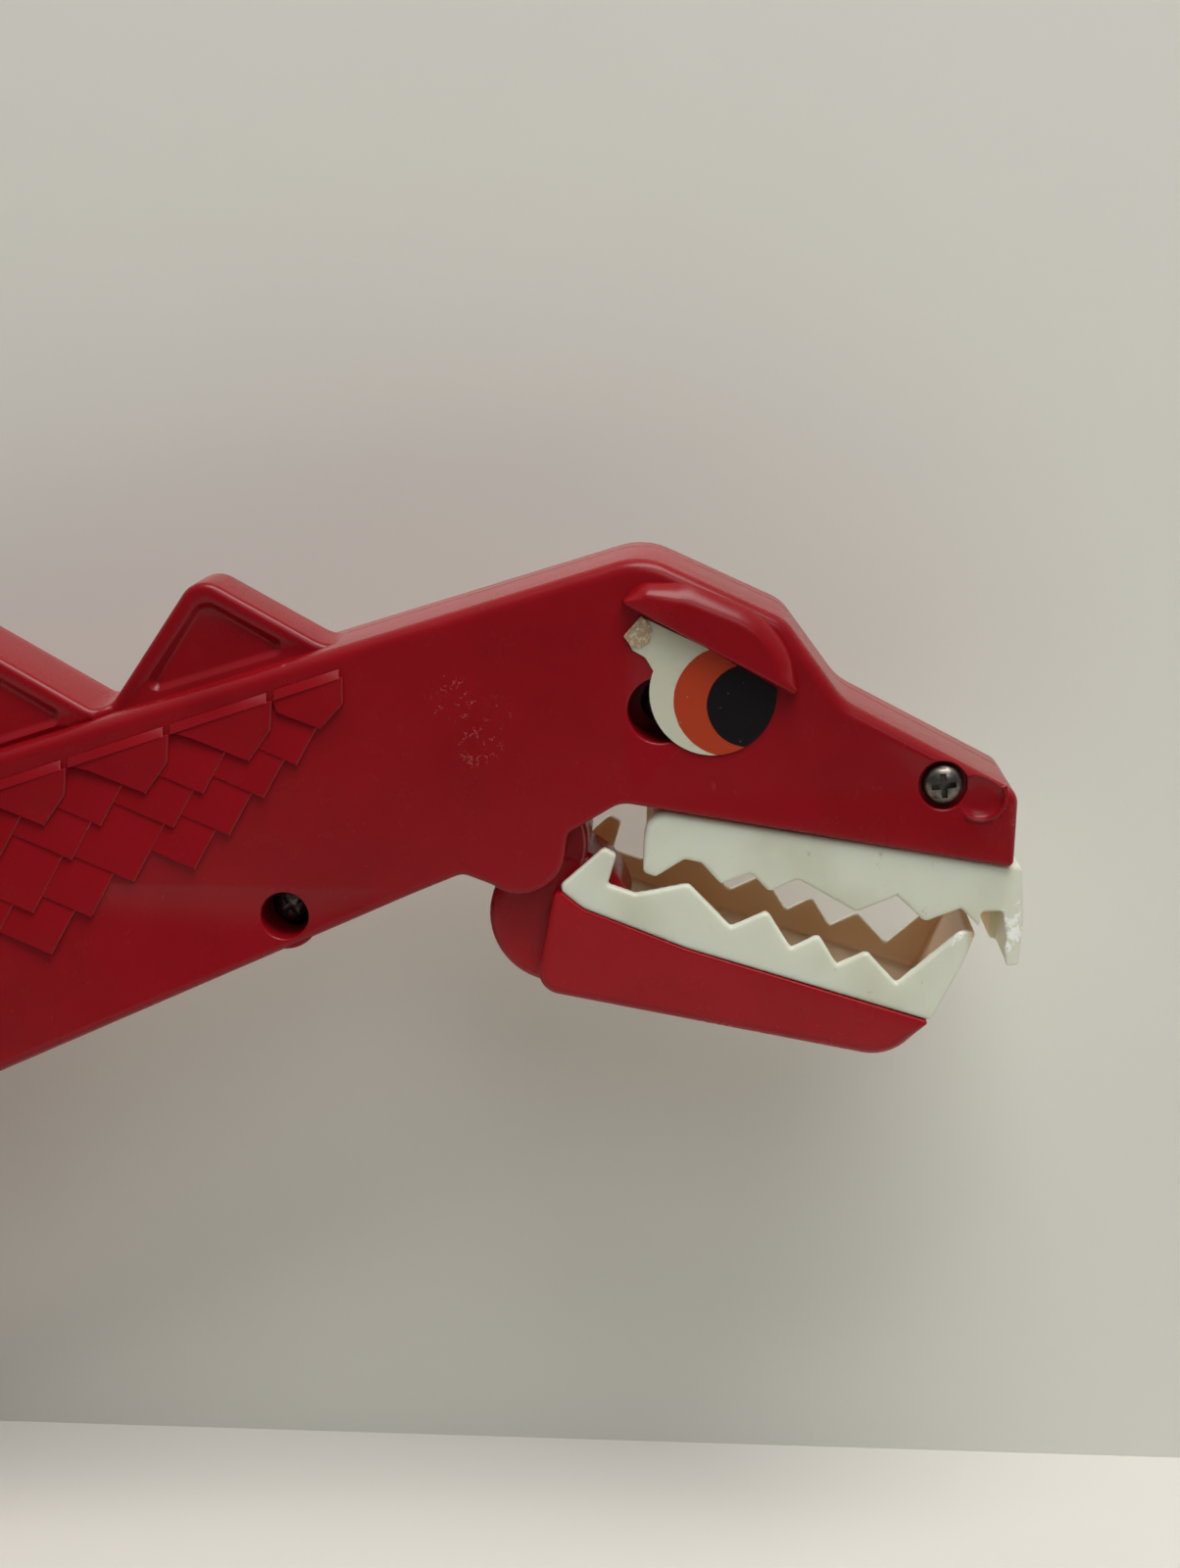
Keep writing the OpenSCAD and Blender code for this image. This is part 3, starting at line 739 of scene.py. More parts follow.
def well_sleeve(x, z, radius, depth):
    """The wall and floor under a deep screw well, with the hole that its screw goes through."""
    top, seat, inner = -HALF + SLEEVE_DOWN, -HALF + depth, radius - SLEEVE_LAP
    bore, outer = SCREW_R + SCREW_ROOM, radius + SLEEVE_WALL
    floor = seat + SEAT_FLOOR
    profile = [(inner, top), (inner, seat), (bore, seat), (bore, floor), (outer, floor), (outer, top)]
    form = Form()
    rings = [form.ring(circle(x, z, r).points, y) for r, y in profile]
    form.skin(rings + rings[:1])
    return form.build("sleeve")


SLOT_R = 10.4
# The near half is cut back at the joint, so the far half's edge shows above it as a thin line
SEAM_LIPS = {1: 0.42, -1: 0.06}


def half_shell(face):
    """A hollow half of the case, from its outer face to the joint between the halves."""
    way = 1 if SEAM > face else -1
    form = Form()
    rings = rounded_rings(form, BODY, face, way)
    lip = SEAM_LIPS[way]
    rings += [form.ring(BODY.inset(), SEAM - way * lip), form.ring(BODY.inset(lip), SEAM),
              form.ring(BODY.inset(WALL), SEAM), form.ring(BODY.inset(WALL), face + way * WALL)]
    shell = form.closed("shell", rings)
    tidy(shell)
    for cutter in (hub_slot(), trigger_slot()):
        cut(shell, cutter)
    return shell


def hub_slot():
    """The space that the jaw's hub and heel turn in."""
    half = HUB_HALF + SLOT_ROOM
    return slab("slot", circle(0, 0, SLOT_R), -half, half, False, False)


def trigger_slot():
    """The space that the trigger turns in."""
    half = TRIGGER_HALF + SLOT_ROOM
    corners = sharp(behind([(10, -2), (10, -14), (-22, -32), (-22, -14), (-8, -2)]))
    return slab("slot", Outline(corners), -half, half, False, False)


# The back fins: front foot, tip and rear foot of each, and its half width
VALLEYS = [(-28.2, 28.5), (-61, 18.4), (-112.7, 1.6), (-162, -17.6), (-197.5, -28.6)]
TIPS = [(-47, 39, 4), (-91, 35.8, 5), (-140, 17, 5), (-182, -6, 4)]
FIN_HALF = [6, 8, 8, 6]
# Length over which the width changes, and edge radii of the fins and of the floor that they stand on
FIN_BLEND, FIN_EDGE, FLOOR_EDGE = 3.0, 1.1, 0.4
# Width of the rim round a fin's sunk panel, and along its foot
RIM, FOOT_RIM = 2.3, 0.7
# The panel's depth, and its slope as steps inwards and shares of the depth
SINK = 0.9
SINK_STEPS = ((0, 0), (0.2, 0.12), (0.6, 0.5), (1.0, 0.88), (1.3, 1))
CREST_FLOOR = [(-203, -30.2), (-203, -33.5), (-174, -25.5), (-130, -7), (-60, 15), (-20, 27.6), (-20, 31)]


def fin_half(x):
    """Half the fins' width at x, which changes in the dips between fins."""
    half = FIN_HALF[0]
    for i, (dip, _) in enumerate(VALLEYS[1:4]):
        share = max(0, min(1, (dip - x + FIN_BLEND / 2) / FIN_BLEND))
        half += (FIN_HALF[i + 1] - FIN_HALF[i]) * share * share * (3 - 2 * share)
    return half


def crest_outline():
    corners = [(*VALLEYS[0], 5, FIN_EDGE)]
    for tip, dip in zip(TIPS, VALLEYS[1:]):
        corners += [(*tip, FIN_EDGE), (*dip, 3, FIN_EDGE)]
    return Outline(corners + [(*p, 0, FLOOR_EDGE) for p in CREST_FLOOR])


def fin_panel(i):
    """The sunk panel in a fin's side."""
    front, tip, rear = VALLEYS[i], TIPS[i], VALLEYS[i + 1]
    corners = [(*front, 1.6, 0), (tip[0], tip[1], tip[2] - 1.2, 0), (*rear, 1.6, 0)]
    return Outline(set_in(corners, [RIM, RIM, FOOT_RIM]))


def crest(way):
    """The row of back fins on one half of the case."""
    outline = crest_outline()
    form = Form()
    rings = []
    steps = 4
    for i in range(-1, steps + 1):
        angle = math.pi / 2 * max(0, i) / steps
        flat = outline.inset(FACE_INSET if i < 0 else 0, 1 if i < 0 else 1 - math.sin(angle))
        depths = [way * (fin_half(p.x) - e * (1 - math.cos(angle))) for p, e in zip(flat, outline.edges)]
        rings.append(form.ring(flat, depths))
    rings.append(form.ring(outline.inset(), SEAM))
    form.skin(rings)
    form.cap(rings[-1])
    panels = []
    for i in range(len(TIPS)):
        panel = fin_panel(i)
        sides = []
        for move, drop in SINK_STEPS:
            flat = panel.inset(move)
            sides.append(form.ring(flat, [way * (fin_half(p.x) - SINK * drop) for p in flat]))
        form.skin(sides)
        form.cap(sides[-1])
        panels.append(sides[0])
    form.cap(rings[0], panels)
    return form.build("crest")


BROW_RISE = 2.2
# The slope up to the brow's ridge: shares of its edge radii and of its rise
BROW_STEPS = ((0, -0.6), (0, 0), (0.3, 0.45), (0.75, 0.88), (1.0, 1.0))
# Its flat face lies a little further in and out
BROW_FACE, BROW_CROWN = 0.5, 1.02
BROW = Outline([(14.2, 36.3, 0.6, 0.4), (17.4, 39.0, 3, 1.7), (24, 38.9, 8, 2.4), (37.9, 33.2, 13, 2.3),
                (40, 22.6, 0.8, 0.5)])


def brow(way):
    """The raised brow: a sloped upper band, a ridge and a flat face that overhangs the eye."""
    form = Form()
    rings = []
    for share, rise in BROW_STEPS:
        rings.append(form.ring(BROW.inset(0, share), way * (HALF + BROW_RISE * rise)))
    rings.append(form.ring(BROW.inset(BROW_FACE, 1.0), way * (HALF + BROW_RISE * BROW_CROWN)))
    return form.closed("brow", rings)


# Scales on the neck: each row starts with a wide flap under the plate's top edge
SCALE_RISE = 0.85
# Shares of the rise at the corners of a scale, a flap and the strip along the top
SCALE_RISES, FLAP_RISES, STRIP_RISES = (0.5, 1, 0.55, 0.05), (0.8, 1, 1.15, 1.05, 1), (1.1, 1.1, 0.35, 0.35)
# A tile's root in the neck, the slope at its edge and the share of its rise below that slope
ROOT, TILE_SLOPE, TILE_RIM = 0.3, 0.28, 0.72
# The plate's top edge: a point on it and its slope
PLATE_X, PLATE_Z, PLATE_SLOPE = -25.5, 26.4, 0.335
SCALE_LEFT, SCALE_RIGHT = Vector((-6.4, 2.7)), Vector((3.1, 5.6))
FIRST_FLAP, FLAP_STEP = Vector((-38.7, 12.9)), Vector((-15.1, -4.9))
FRONT_ROW = [(-31.8, 12.4, 1), (-36.7, 7.5, 1), (-41.9, 1.9, 1), (-47.1, -3.2, 1)]
ROW_STEPS = [(-6.8, -4.9, 1.05), (-11.3, -10, 1), (-17.4, -18.1, 1.25), (-24, -23.5, 1.05),
             (-30.1, -29.3, 1)]
SCALE_ROWS = 5
# How far a scale reaches under its neighbour, in lengths of its open edge
TUCK = 1.45
# Height of the strip, how far a flap reaches under it, and how far it reaches over the notches
STRIP_H, STRIP_TUCK, STRIP_OVER = 1.4, 0.2, 0.5
# A flap's corners from its tip, and those of the half flap in front
FLAP_LEFT, FLAP_RIGHT, FLAP_FAR, NOTCH = Vector((-8.3, 3.3)), Vector((3.3, 4.7)), 11.2, 0.3
HALF_FLAP_TIP, HALF_FLAP_LEFT = Vector((-28.3, 17.7)), Vector((-6.3, 2.4))
HALF_FLAP_RIGHT, HALF_FLAP_FAR = Vector((-24.9, 21.5)), -35.2


def wedge(name, corners, rises, way):
    """A thin closed tile on the neck's side, whose corners stand out by their own shares of the rise."""
    base, rim, top = [], [], []
    middle = sum((Vector(c) for c in corners), Vector((0, 0))) / len(corners)
    for corner, rise in zip(corners, rises):
        point = Vector(corner)
        pulled = point + (middle - point).normalized() * TILE_SLOPE
        rise *= SCALE_RISE
        base.append((point, HALF - ROOT))
        rim.append((point, HALF + rise * TILE_RIM))
        top.append((pulled, HALF + rise))
    form = Form()
    rings = [form.ring([p for p, _ in part], [way * y for _, y in part]) for part in (base, rim, top)]
    return form.closed(name, rings)


def scale(tip, size, way):
    """A tile that slopes down towards the ones that cover its far edges."""
    left, right = SCALE_LEFT * size * TUCK, SCALE_RIGHT * size * TUCK
    corners = [tip + left, tip, tip + right, tip + left + right]
    corners = [(c.x, min(c.y, plate_top(c.x) - STRIP_H)) for c in corners]
    return wedge("scale", corners, SCALE_RISES, way)


def plate_top(x):
    """Height of the plate's top edge."""
    return PLATE_Z + PLATE_SLOPE * (x - PLATE_X)


def flap(i, way):
    """A wide scale that hangs from the plate's top edge."""
    if i < 0:
        tip, right, far, notch = HALF_FLAP_TIP, HALF_FLAP_RIGHT, HALF_FLAP_FAR, 0
        left = tip + HALF_FLAP_LEFT
    else:
        tip = FIRST_FLAP + FLAP_STEP * i
        left, right, far, notch = tip + FLAP_LEFT, tip + FLAP_RIGHT, tip.x - FLAP_FAR, NOTCH
    under = STRIP_TUCK - STRIP_H
    ends = [(far, plate_top(far) + under), (right.x + notch, plate_top(right.x) + under)]
    return wedge("flap", [ends[0], left, tip, right, ends[1]], FLAP_RISES, way)


def top_strip(way):
    """The plate's top edge, a bevelled strip with a notch between flaps."""
    pieces = []
    starts = [HALF_FLAP_RIGHT.x]
    starts += [FIRST_FLAP.x + FLAP_STEP.x * i + FLAP_RIGHT.x for i in range(SCALE_ROWS + 1)]
    for start, stop in zip(starts, starts[1:]):
        a, b = start - STRIP_OVER, stop + STRIP_OVER
        high_a, high_b = plate_top(a), plate_top(b)
        corners = [(b, high_b - STRIP_H), (a, high_a - STRIP_H), (a, high_a), (b, high_b)]
        pieces.append(wedge("strip", corners, STRIP_RISES, way))
    return pieces


def scales(way):
    tiles = [scale(Vector((x, z)), size, way) for x, z, size in FRONT_ROW]
    for i in range(SCALE_ROWS):
        start = FIRST_FLAP + FLAP_STEP * i
        tiles += [scale(start + Vector((x, z)), size, way) for x, z, size in ROW_STEPS]
    tiles += [flap(i, way) for i in range(-1, SCALE_ROWS)]
    return tiles + top_strip(way)


# The chewed hollow beside the nose screw: its place, and radii at depths below the side
NOSTRIL = (65.8, 8.8)
NOSTRIL_PROFILE = ((3.5, -CLEAR), (3.5, 0), (3.1, 0.45), (2.2, 0.85), (1.2, 0.9))
# The bead of plastic that is pushed up round it: wire radius, depth and arc
BEAD_R, BEAD_SUNK, BEAD_START, BEAD_SWEEP = 0.42, 0.12, -125, 150


def nostril(shell):
    """Cuts the chewed hollow."""
    profile = [(radius, -HALF + down) for radius, down in NOSTRIL_PROFILE]
    tool = turned("nostril", *NOSTRIL, profile, 32)
    cut(shell, tool)


def right_case(material):
    shell = half_shell(-HALF)
    nostril(shell)
    for (x, z), radius, depth in WELLS:
        cutter = well_cutter(x, z, radius, depth)
        cut(shell, cutter)
    bead = hook(place(NOSTRIL[0], -HALF + BEAD_SUNK, NOSTRIL[1]), Vector((1, 0, 0)), Vector((0, 0, 1)),
                NOSTRIL_PROFILE[0][0] * MM, BEAD_R * MM, BEAD_START, BEAD_SWEEP)
    parts = [shell, crest(-1), brow(-1), bead, *scales(-1)]
    parts += [well_sleeve(x, z, radius, depth) for (x, z), radius, depth in WELLS[1:]]
    finish(join("right_case", parts), "case", material, ["right_shell"])


def left_case(material):
    parts = [half_shell(HALF), crest(1), brow(1), *scales(1)]
    finish(join("left_case", parts), "case", material, ["left_shell"])


# ---- teeth -------------------------------------------------------------------------------------

TIP = 0.35
UPPER_SIDE = [(18.2, 6.3, 3.2, 1.3), (17.8, 1, 2, 0.9), (17.8, -3.2, 0.8, TIP), (19.6, -3.9, 0.6, TIP),
              (23.8, -1.2, 0.6, TIP), (26.2, -1.7, 0, TIP), (29.1, -4.9, 0.6, TIP), (33.4, -3.2, 0.3, TIP),
              (36, -5.9, 0.6, TIP), (40.2, -4, 0.3, TIP), (48.6, -8.8, 0.8, TIP), (54.4, -6.3, 0.3, TIP),
              (58.5, -10.1, 0.8, TIP), (63.6, -8, 0.3, TIP)]
FRONT_FANG = [(68, -12.5, 0.8, TIP), (70.6, -18.4, 0.5, TIP), (72.2, -18.8, 0.4, TIP)]
UPPER_FRONT = [(73.1, -10, 3, TIP), (72.3, -1.9, 1.2, 1.1)]
# What has broken off the right front fang, and off the corner that is left
CHIP = sharp([(66.5, -8.5), (69.6, -8.3), (70.3, -12.4), (70.0, -14.1), (70.9, -20), (66, -20)])
CORNER_CHIP = sharp([(69, -16.2), (72.0, -16.9), (74, -16.4), (74, -21), (69, -21)])
# The chips and how far across the toy they reach
CHIPS = ((CHIP, -7.5), (CORNER_CHIP, -4))
LOWER_ROW = [(6, -6.3, 0, 0.5), (5.9, -5.2, 0.8, 0.6), (7, -4.3, 0, 0.5), (12.2, 0.4, 0.8, TIP),
             (14, -0.7, 0.4, TIP), (12.7, -5.1, 0, TIP), (16.8, -6.5, 0, TIP), (24.4, -4.9, 0.8, TIP),
             (30.6, -11.3, 0.3, TIP), (35.8, -8.8, 0.8, TIP), (39.3, -14.4, 0.3, TIP),
             (43.3, -12.3, 0.8, TIP), (46, -16.8, 0.3, TIP), (50.3, -14.7, 0.8, TIP),
             (54.7, -19.5, 0.3, TIP), (63.8, -11.4, 1, 0.6), (66.3, -12.1, 0.6, 3.0),
             (59.8, -25.1, 0.6, 3.0), (24.1, -14.6, 0, 0.5), (9.1, -8.8, 0, 0.5)]
# The hollows of the two rows
CHANNEL = sharp([(10, 4.1), (18, 4.7), (71.4, -3.75), (71.4, -30), (10, -30)])
BASIN = sharp([(-10, -1), (9.1, -6.8), (24.1, -12.6), (58.8, -23.1), (66, -9), (60, 5), (-10, 5)])
# The rows' front ends, and the radius of their corners as seen from above
UPPER_END, LOWER_END, FRONT_ROUND = 73.1, 66.3, 4.0
# A plan's rear end, and its reach up and down, which clear every tooth
PLAN_REAR, PLAN_REACH = -10, 60
TOOTH_VOXEL, SOFTENINGS = 0.3, 3


def upright(name, flat, low, high):
    """A straight block that stands on a plan of (x, y)."""
    form = Form()
    rings = []
    for z in (low, high):
        rings.append(form.loop([place(x, y, z) for x, y in flat]))
    form.skin(rings)
    form.faces += [tuple(rings[0]), tuple(rings[1])]
    return form.build(name)


def round_front(block, front):
    """Turns a tooth row's two front corners."""
    r, w = FRONT_ROUND, TEETH_HALF
    turns = [math.radians(a) for a in range(0, 91, 9)]
    right = [(front - r + r * math.sin(a), -w + r - r * math.cos(a)) for a in turns]
    plan = right + [(x, -y) for x, y in reversed(right)] + [(PLAN_REAR, w), (PLAN_REAR, -w)]
    tool = upright("plan", plan, -PLAN_REACH, PLAN_REACH)
    tidy(block)
    tidy(tool)
    combine(block, tool, "INTERSECT")


def hollow_out(block, corners):
    """Takes the inside out of a tooth row."""
    inner = TEETH_HALF - TOOTH_WALL
    cutter = slab("cutter", Outline(corners), -inner, inner, False, False)
    tidy(block)
    cut(block, cutter)


def upper_teeth(material):
    block = slab("upper_tooth_row", Outline(UPPER_SIDE + FRONT_FANG + UPPER_FRONT), -TEETH_HALF, TEETH_HALF)
    round_front(block, UPPER_END)
    hollow_out(block, CHANNEL)
    for corners, inner in CHIPS:
        chip = slab("chip", Outline(corners), -TEETH_HALF - 1, inner, False, False)
        cut(block, chip)
    remesh(block)
    finish(block, "case", material, ["upper_teeth"], SOFT_CREASE)


def lower_teeth(material):
    block = slab("lower_tooth_row", Outline(LOWER_ROW), -TEETH_HALF, TEETH_HALF)
    round_front(block, LOWER_END)
    hollow_out(block, BASIN)
    remesh(block)
    finish(block, "jaw", material, ["lower_teeth"], SOFT_CREASE)


# ---- jaw, trigger and linkage ------------------------------------------------------------------

TRAY = [(4.9, -6.6, 0.8, 0.7), (1.9, -21.3, 3.5, 1.4), (54.2, -31.2, 7.5, 1.9), (59.6, -25.1, 0.4, 0.6),
        (24.1, -14.6, 0, 0.2), (9.1, -8.8, 0, 0.2), (6, -6.3, 0, 0.3)]
TRAY_HOLLOW = sharp([(18, 0), (18, -22.2), (50.5, -28.5), (55, -26.2), (57.5, -22)])
# The heel below the neck, the hub behind the mouth and the wider front of the hub, as a slice of a circle
HEEL, HEEL_R, HEEL_EDGE = (5.5, -11), 10.4, 1.6
HUB_R, HUB_EDGE, HUB_FRONT_R, HUB_FRONT_FROM, HUB_FRONT_TO = 7.8, 0.6, 9.8, -50, 62
# The levers: the rod's pin from the hub, the eye's radius, the gap for the rod, and the hubs' radii
LEVER_AT = (middle_of("rod_front_pin") - JAW) / MM
LEVER_HALF = span("rod_front_pin")[1]
EYE_R, EYE_REACH, ROD_GAP, LEVER_EDGE, LEVER_HUB_EDGE = 3.4, 1.28, 1.8, 0.3, 0.5
JAW_LEVER_R, TRIGGER_LEVER_R, TRIGGER_HUB_R, TRIGGER_HUB_EDGE = 6.5, 6, 7, 1


def lever(x, z, hub):
    """A forked lever from a hub up to a rod pin, as two cheeks."""
    to = Vector((LEVER_AT.x, LEVER_AT.z))
    side = Vector((-to.y, to.x)).normalized() * EYE_R
    centre = Vector((x, z))
    tip = centre + to * EYE_REACH
    corners = [(*(centre + side), 0, LEVER_EDGE), (*(tip + side), EYE_R, LEVER_EDGE),
               (*(tip - side), EYE_R, LEVER_EDGE), (*(centre - side), 0, LEVER_EDGE)]
    cheek = Outline(corners)
    inner = LEVER_HALF - FLAT_GAP
    return [slab("cheek", cheek, ROD_GAP, LEVER_HALF), slab("cheek", cheek, -LEVER_HALF, -ROD_GAP),
            slab("lever_hub", circle(x, z, hub, LEVER_HUB_EDGE), -inner, inner)]


def lower_jaw(material):
    tray = slab("tray", Outline(TRAY), -JAW_HALF, JAW_HALF)
    inner = JAW_HALF - TRAY_WALL
    cutter = slab("cutter", Outline(TRAY_HOLLOW), -inner, inner, False, False)
    tidy(tray)
    cut(tray, cutter)
    slice_edge = arc(HUB_FRONT_R, HUB_FRONT_FROM, HUB_FRONT_TO, HUB_EDGE)
    front = Outline([(0, 0, 0, HUB_EDGE)] + slice_edge)
    parts = [tray, slab("heel", circle(*HEEL, HEEL_R, HEEL_EDGE, 56), -HUB_HALF, HUB_HALF),
             slab("hub", circle(0, 0, HUB_R, HUB_EDGE), 2 * FLAT_GAP - HUB_HALF, HUB_HALF - 2 * FLAT_GAP),
             slab("hub_front", front, FLAT_GAP - HUB_HALF, HUB_HALF - FLAT_GAP), *lever(0, 0, JAW_LEVER_R)]
    finish(join("jaw_moulding", parts), "jaw", material, ["lower_jaw"])


FINGER = behind([(7, 2, 1, 1), (8.5, -14, 8, 2), (3.5, -30, 30, 2.4), (8, -57, 3, 2.2), (3, -60, 3, 2.2),
                 (-2, -56, 3, 2), (-5, -30, 30, 2.2), (-5, -14, 8, 2), (-7, -1, 1, 1)])


def trigger(material):
    x, z = behind([(0, 0)])[0]
    hub, inner = circle(x, z, TRIGGER_HUB_R, TRIGGER_HUB_EDGE), TRIGGER_HALF - FLAT_GAP
    parts = [slab("finger", Outline(FINGER), -TRIGGER_HALF, TRIGGER_HALF), slab("hub", hub, -inner, inner),
             *lever(x, z, TRIGGER_LEVER_R)]
    finish(join("trigger_moulding", parts), "trigger", material, ["trigger"])


# ---- geometry node trees -----------------------------------------------------------------------


def node_tree(name, inputs):
    """A geometry tree with named inputs and a material, its graph and its inputs."""
    tree = bpy.data.node_groups.new(name, "GeometryNodeTree")
    geometry, material = ("Geometry", "NodeSocketGeometry"), ("Material", "NodeSocketMaterial")
    for label, kind in (geometry, *inputs, material):
        tree.interface.new_socket(label, in_out="INPUT", socket_type=kind)
    tree.interface.new_socket(geometry[0], in_out="OUTPUT", socket_type=geometry[1])
    graph = Graph(tree)
    return tree, graph, graph.add("NodeGroupInput").outputs


def coat(graph, shape, given):
    """Gives a tree's shape its material and sends it out."""
    coated = graph.out("GeometryNodeSetMaterial", {"Geometry": shape, "Material": given["Material"]})
    graph.add("NodeGroupOutput", {0: coated})


def run_tree(piece, tree, values):
    """Runs a tree on a piece with its inputs set, and keeps the result as a plain mesh."""
    modifier = piece.modifiers.new(tree.name, "NODES")
    modifier.node_group = tree
    for item in tree.interface.items_tree:
        if item.in_out == "INPUT" and item.name in values:
            modifier[item.identifier] = values[item.name]
    bake(piece)


def seating_tree():
    """Sets one screw on every point."""
    tree, graph, given = node_tree("screw_seating", [("Screw", "NodeSocketObject")])
    screw = graph.add("GeometryNodeObjectInfo", {"Object": given["Screw"]})
    seats = graph.out("GeometryNodeMeshToPoints", {"Mesh": given["Geometry"]})
    turns = graph.add("FunctionNodeRandomValue", data_type="FLOAT_VECTOR")
    graph.feed(turns.inputs[0], (0, 0, 0))
    graph.feed(turns.inputs[1], (0, math.pi / 2, 0))
    graph.feed(turns.inputs["Seed"], 4)
    parts = {"Points": seats, "Instance": screw.outputs["Geometry"], "Rotation": turns.outputs[0]}
    placed = graph.out("GeometryNodeInstanceOnPoints", parts)
    coat(graph, graph.out("GeometryNodeRealizeInstances", {0: placed}), given)
    return tree


# The screws' heads, their shanks' length, and the arms of the cross recess
HEAD_R, HEAD_H, SHANK = 3.0, 2.2, 11.0
CROSS_LONG, CROSS_THIN, CROSS_DEEP, CROSS_ABOVE = 1.75, 0.42, 1.35, 1
# Heights on the head's rim and the shank where the profile turns, and the shank's point
RIM_DOWN, RIM_IN, POINT_H, POINT_R = 0.35, 0.1, 2, 0.3
# The head's dome, as radii at depths below its top
DOME = ((0.02, 0), (1.1, 0.06), (2.0, 0.32), (2.6, 0.8), (2.92, 1.4))


def screw_shape():
    """A pan-head screw at the origin: its seat is y = 0 and its head points to -Y."""
    profile = [(radius, -HEAD_H + down) for radius, down in DOME]
    profile += [(HEAD_R, -RIM_DOWN), (HEAD_R - RIM_IN, 0), (SCREW_R, 0), (SCREW_R, SHANK - POINT_H),
                (POINT_R, SHANK)]
    origin_x, origin_z = -JAW.x / MM, -JAW.z / MM
    screw = turned("screw", origin_x, origin_z, profile, 32)
    tidy(screw)
    for x, z in ((CROSS_THIN, CROSS_LONG), (CROSS_LONG, CROSS_THIN)):
        arm = [(sx * x + origin_x, sz * z + origin_z) for sx, sz in ((1, 1), (-1, 1), (-1, -1), (1, -1))]
        low, high = -HEAD_H - CROSS_ABOVE, -HEAD_H + CROSS_DEEP
        cut(screw, slab("cross", Outline(sharp(arm)), low, high, False, False))
    return screw


def screws(material):
    screw = screw_shape()
    mesh = bpy.data.meshes.new("case_screw_set")
    mesh.from_pydata([place(x, -HALF + depth, z) for (x, z), _, depth in WELLS], [], [])
    piece = new_object("case_screw_set", mesh)
    run_tree(piece, seating_tree(), {"Screw": screw, "Material": material})
    bpy.data.objects.remove(screw)
    finish(piece, "case", material, ["case_screws"], SCREW_CREASE)


def coil_tree():
    """Winds wire into an open coil along X and sets it between two points."""
    inputs = [(label, FLOAT) for label in ("Turns", "Radius", "Length", "Wire", "Tilt")]
    tree, graph, given = node_tree("wound_coil", inputs + [("Start", VECTOR)])
    line = graph.out("GeometryNodeCurveSpiral", {"Resolution": 20, "Rotations": given["Turns"],
                                                 "Start Radius": given["Radius"],
                                                 "End Radius": given["Radius"], "Height": given["Length"]})
    round_wire = graph.out("GeometryNodeCurvePrimitiveCircle", {"Resolution": 8, "Radius": given["Wire"]})
    parts = {"Curve": line, "Profile Curve": round_wire, "Fill Caps": True}
    wire = graph.out("GeometryNodeCurveToMesh", parts)
    spin = graph.out("ShaderNodeCombineXYZ", {"Y": given["Tilt"]})
    moves = {"Geometry": wire, "Translation": given["Start"], "Rotation": spin}
    coat(graph, graph.out("GeometryNodeTransform", moves), given)
    return tree


def hook(centre, along, up, radius, wire, start, sweep):
    """A part-turn of wire round a centre, as a closed tube."""
    form = Form()
    steps, sides = 20, 8
    rings = []
    for i in range(steps + 1):
        angle = math.radians(start + sweep * i / steps)
        out = along * math.cos(angle) + up * math.sin(angle)
        across = along.cross(up)
        turns = [math.tau * k / sides for k in range(sides)]
        rings.append(form.loop([centre + out * (radius + wire * math.cos(t)) + across * wire * math.sin(t)
                                for t in turns]))
    form.skin(rings)
    form.faces += [tuple(rings[0]), tuple(rings[-1])]
    return form.build("hook")


# The spring: radii of its wire and coil, the coil's pitch in wire radii, and its ends behind its origin
WIRE_R, COIL_R, PITCH, COIL_FROM, COIL_TO = 0.35, 2.45, 2.25, 6.5, 31.5
# Places behind the rod's rear pin: the spring's origin, its front eye and its rear eye
SPRING_AT, FRONT_EYE_AT, REAR_EYE_AT = 9, 12, 45
# The eyes' radii, their first angles and the part of a turn that they take
FRONT_EYE_R, REAR_EYE_R, FRONT_EYE_FROM, REAR_EYE_FROM, EYE_SWEEP = 3, 2.55, 20, 200, 320


def spring(material):
    """The return spring between the rod's rear eye and the post in the case."""
    pin = middle_of("rod_rear_pin")
    back = (TRIGGER - JAW).normalized()
    tilt = math.atan2(back.x, back.z)
    wire, first, last = WIRE_R * MM, COIL_FROM * MM, COIL_TO * MM
    start = pin + back * (SPRING_AT * MM + first)
    coil = new_object("spring_coil", bpy.data.meshes.new("spring_coil"))
    run_tree(coil, coil_tree(), {"Turns": (last - first) / (PITCH * wire), "Radius": COIL_R * MM,
                                 "Length": last - first, "Wire": wire, "Start": tuple(start), "Tilt": tilt,
                                 "Material": material})
    across = Vector((0, 1, 0))
    front_at, rear_at = pin + back * FRONT_EYE_AT * MM, pin + back * REAR_EYE_AT * MM
    front_eye = hook(front_at, back, across, FRONT_EYE_R * MM, wire, FRONT_EYE_FROM, EYE_SWEEP)
    rear_eye = hook(rear_at, back, back.cross(across), REAR_EYE_R * MM, wire, REAR_EYE_FROM, EYE_SWEEP)
    piece = join("return_spring_coil", [coil, front_eye, rear_eye])
    finish(piece, "case", material, ["return_spring"], SOFT_CREASE)


# ---- stickers ----------------------------------------------------------------------------------

# The round part, in degrees between its points, and the point where the tail leaves it
EYE_X, EYE_Z, PRINT_R, PRINT_FROM, PRINT_TO, PRINT_STEP = 27.6, 23.4, 9.0, 160, 370, 6
TAIL_FOOT = (27, 29.6, 0, 0)
PAPER_TAIL = [(17.3, 34.2, 0.3, 0), (15.1, 31.6, 0.4, 0), (16.2, 29.4, 0.5, 0), (18.0, 28.4, 1.2, 0)]
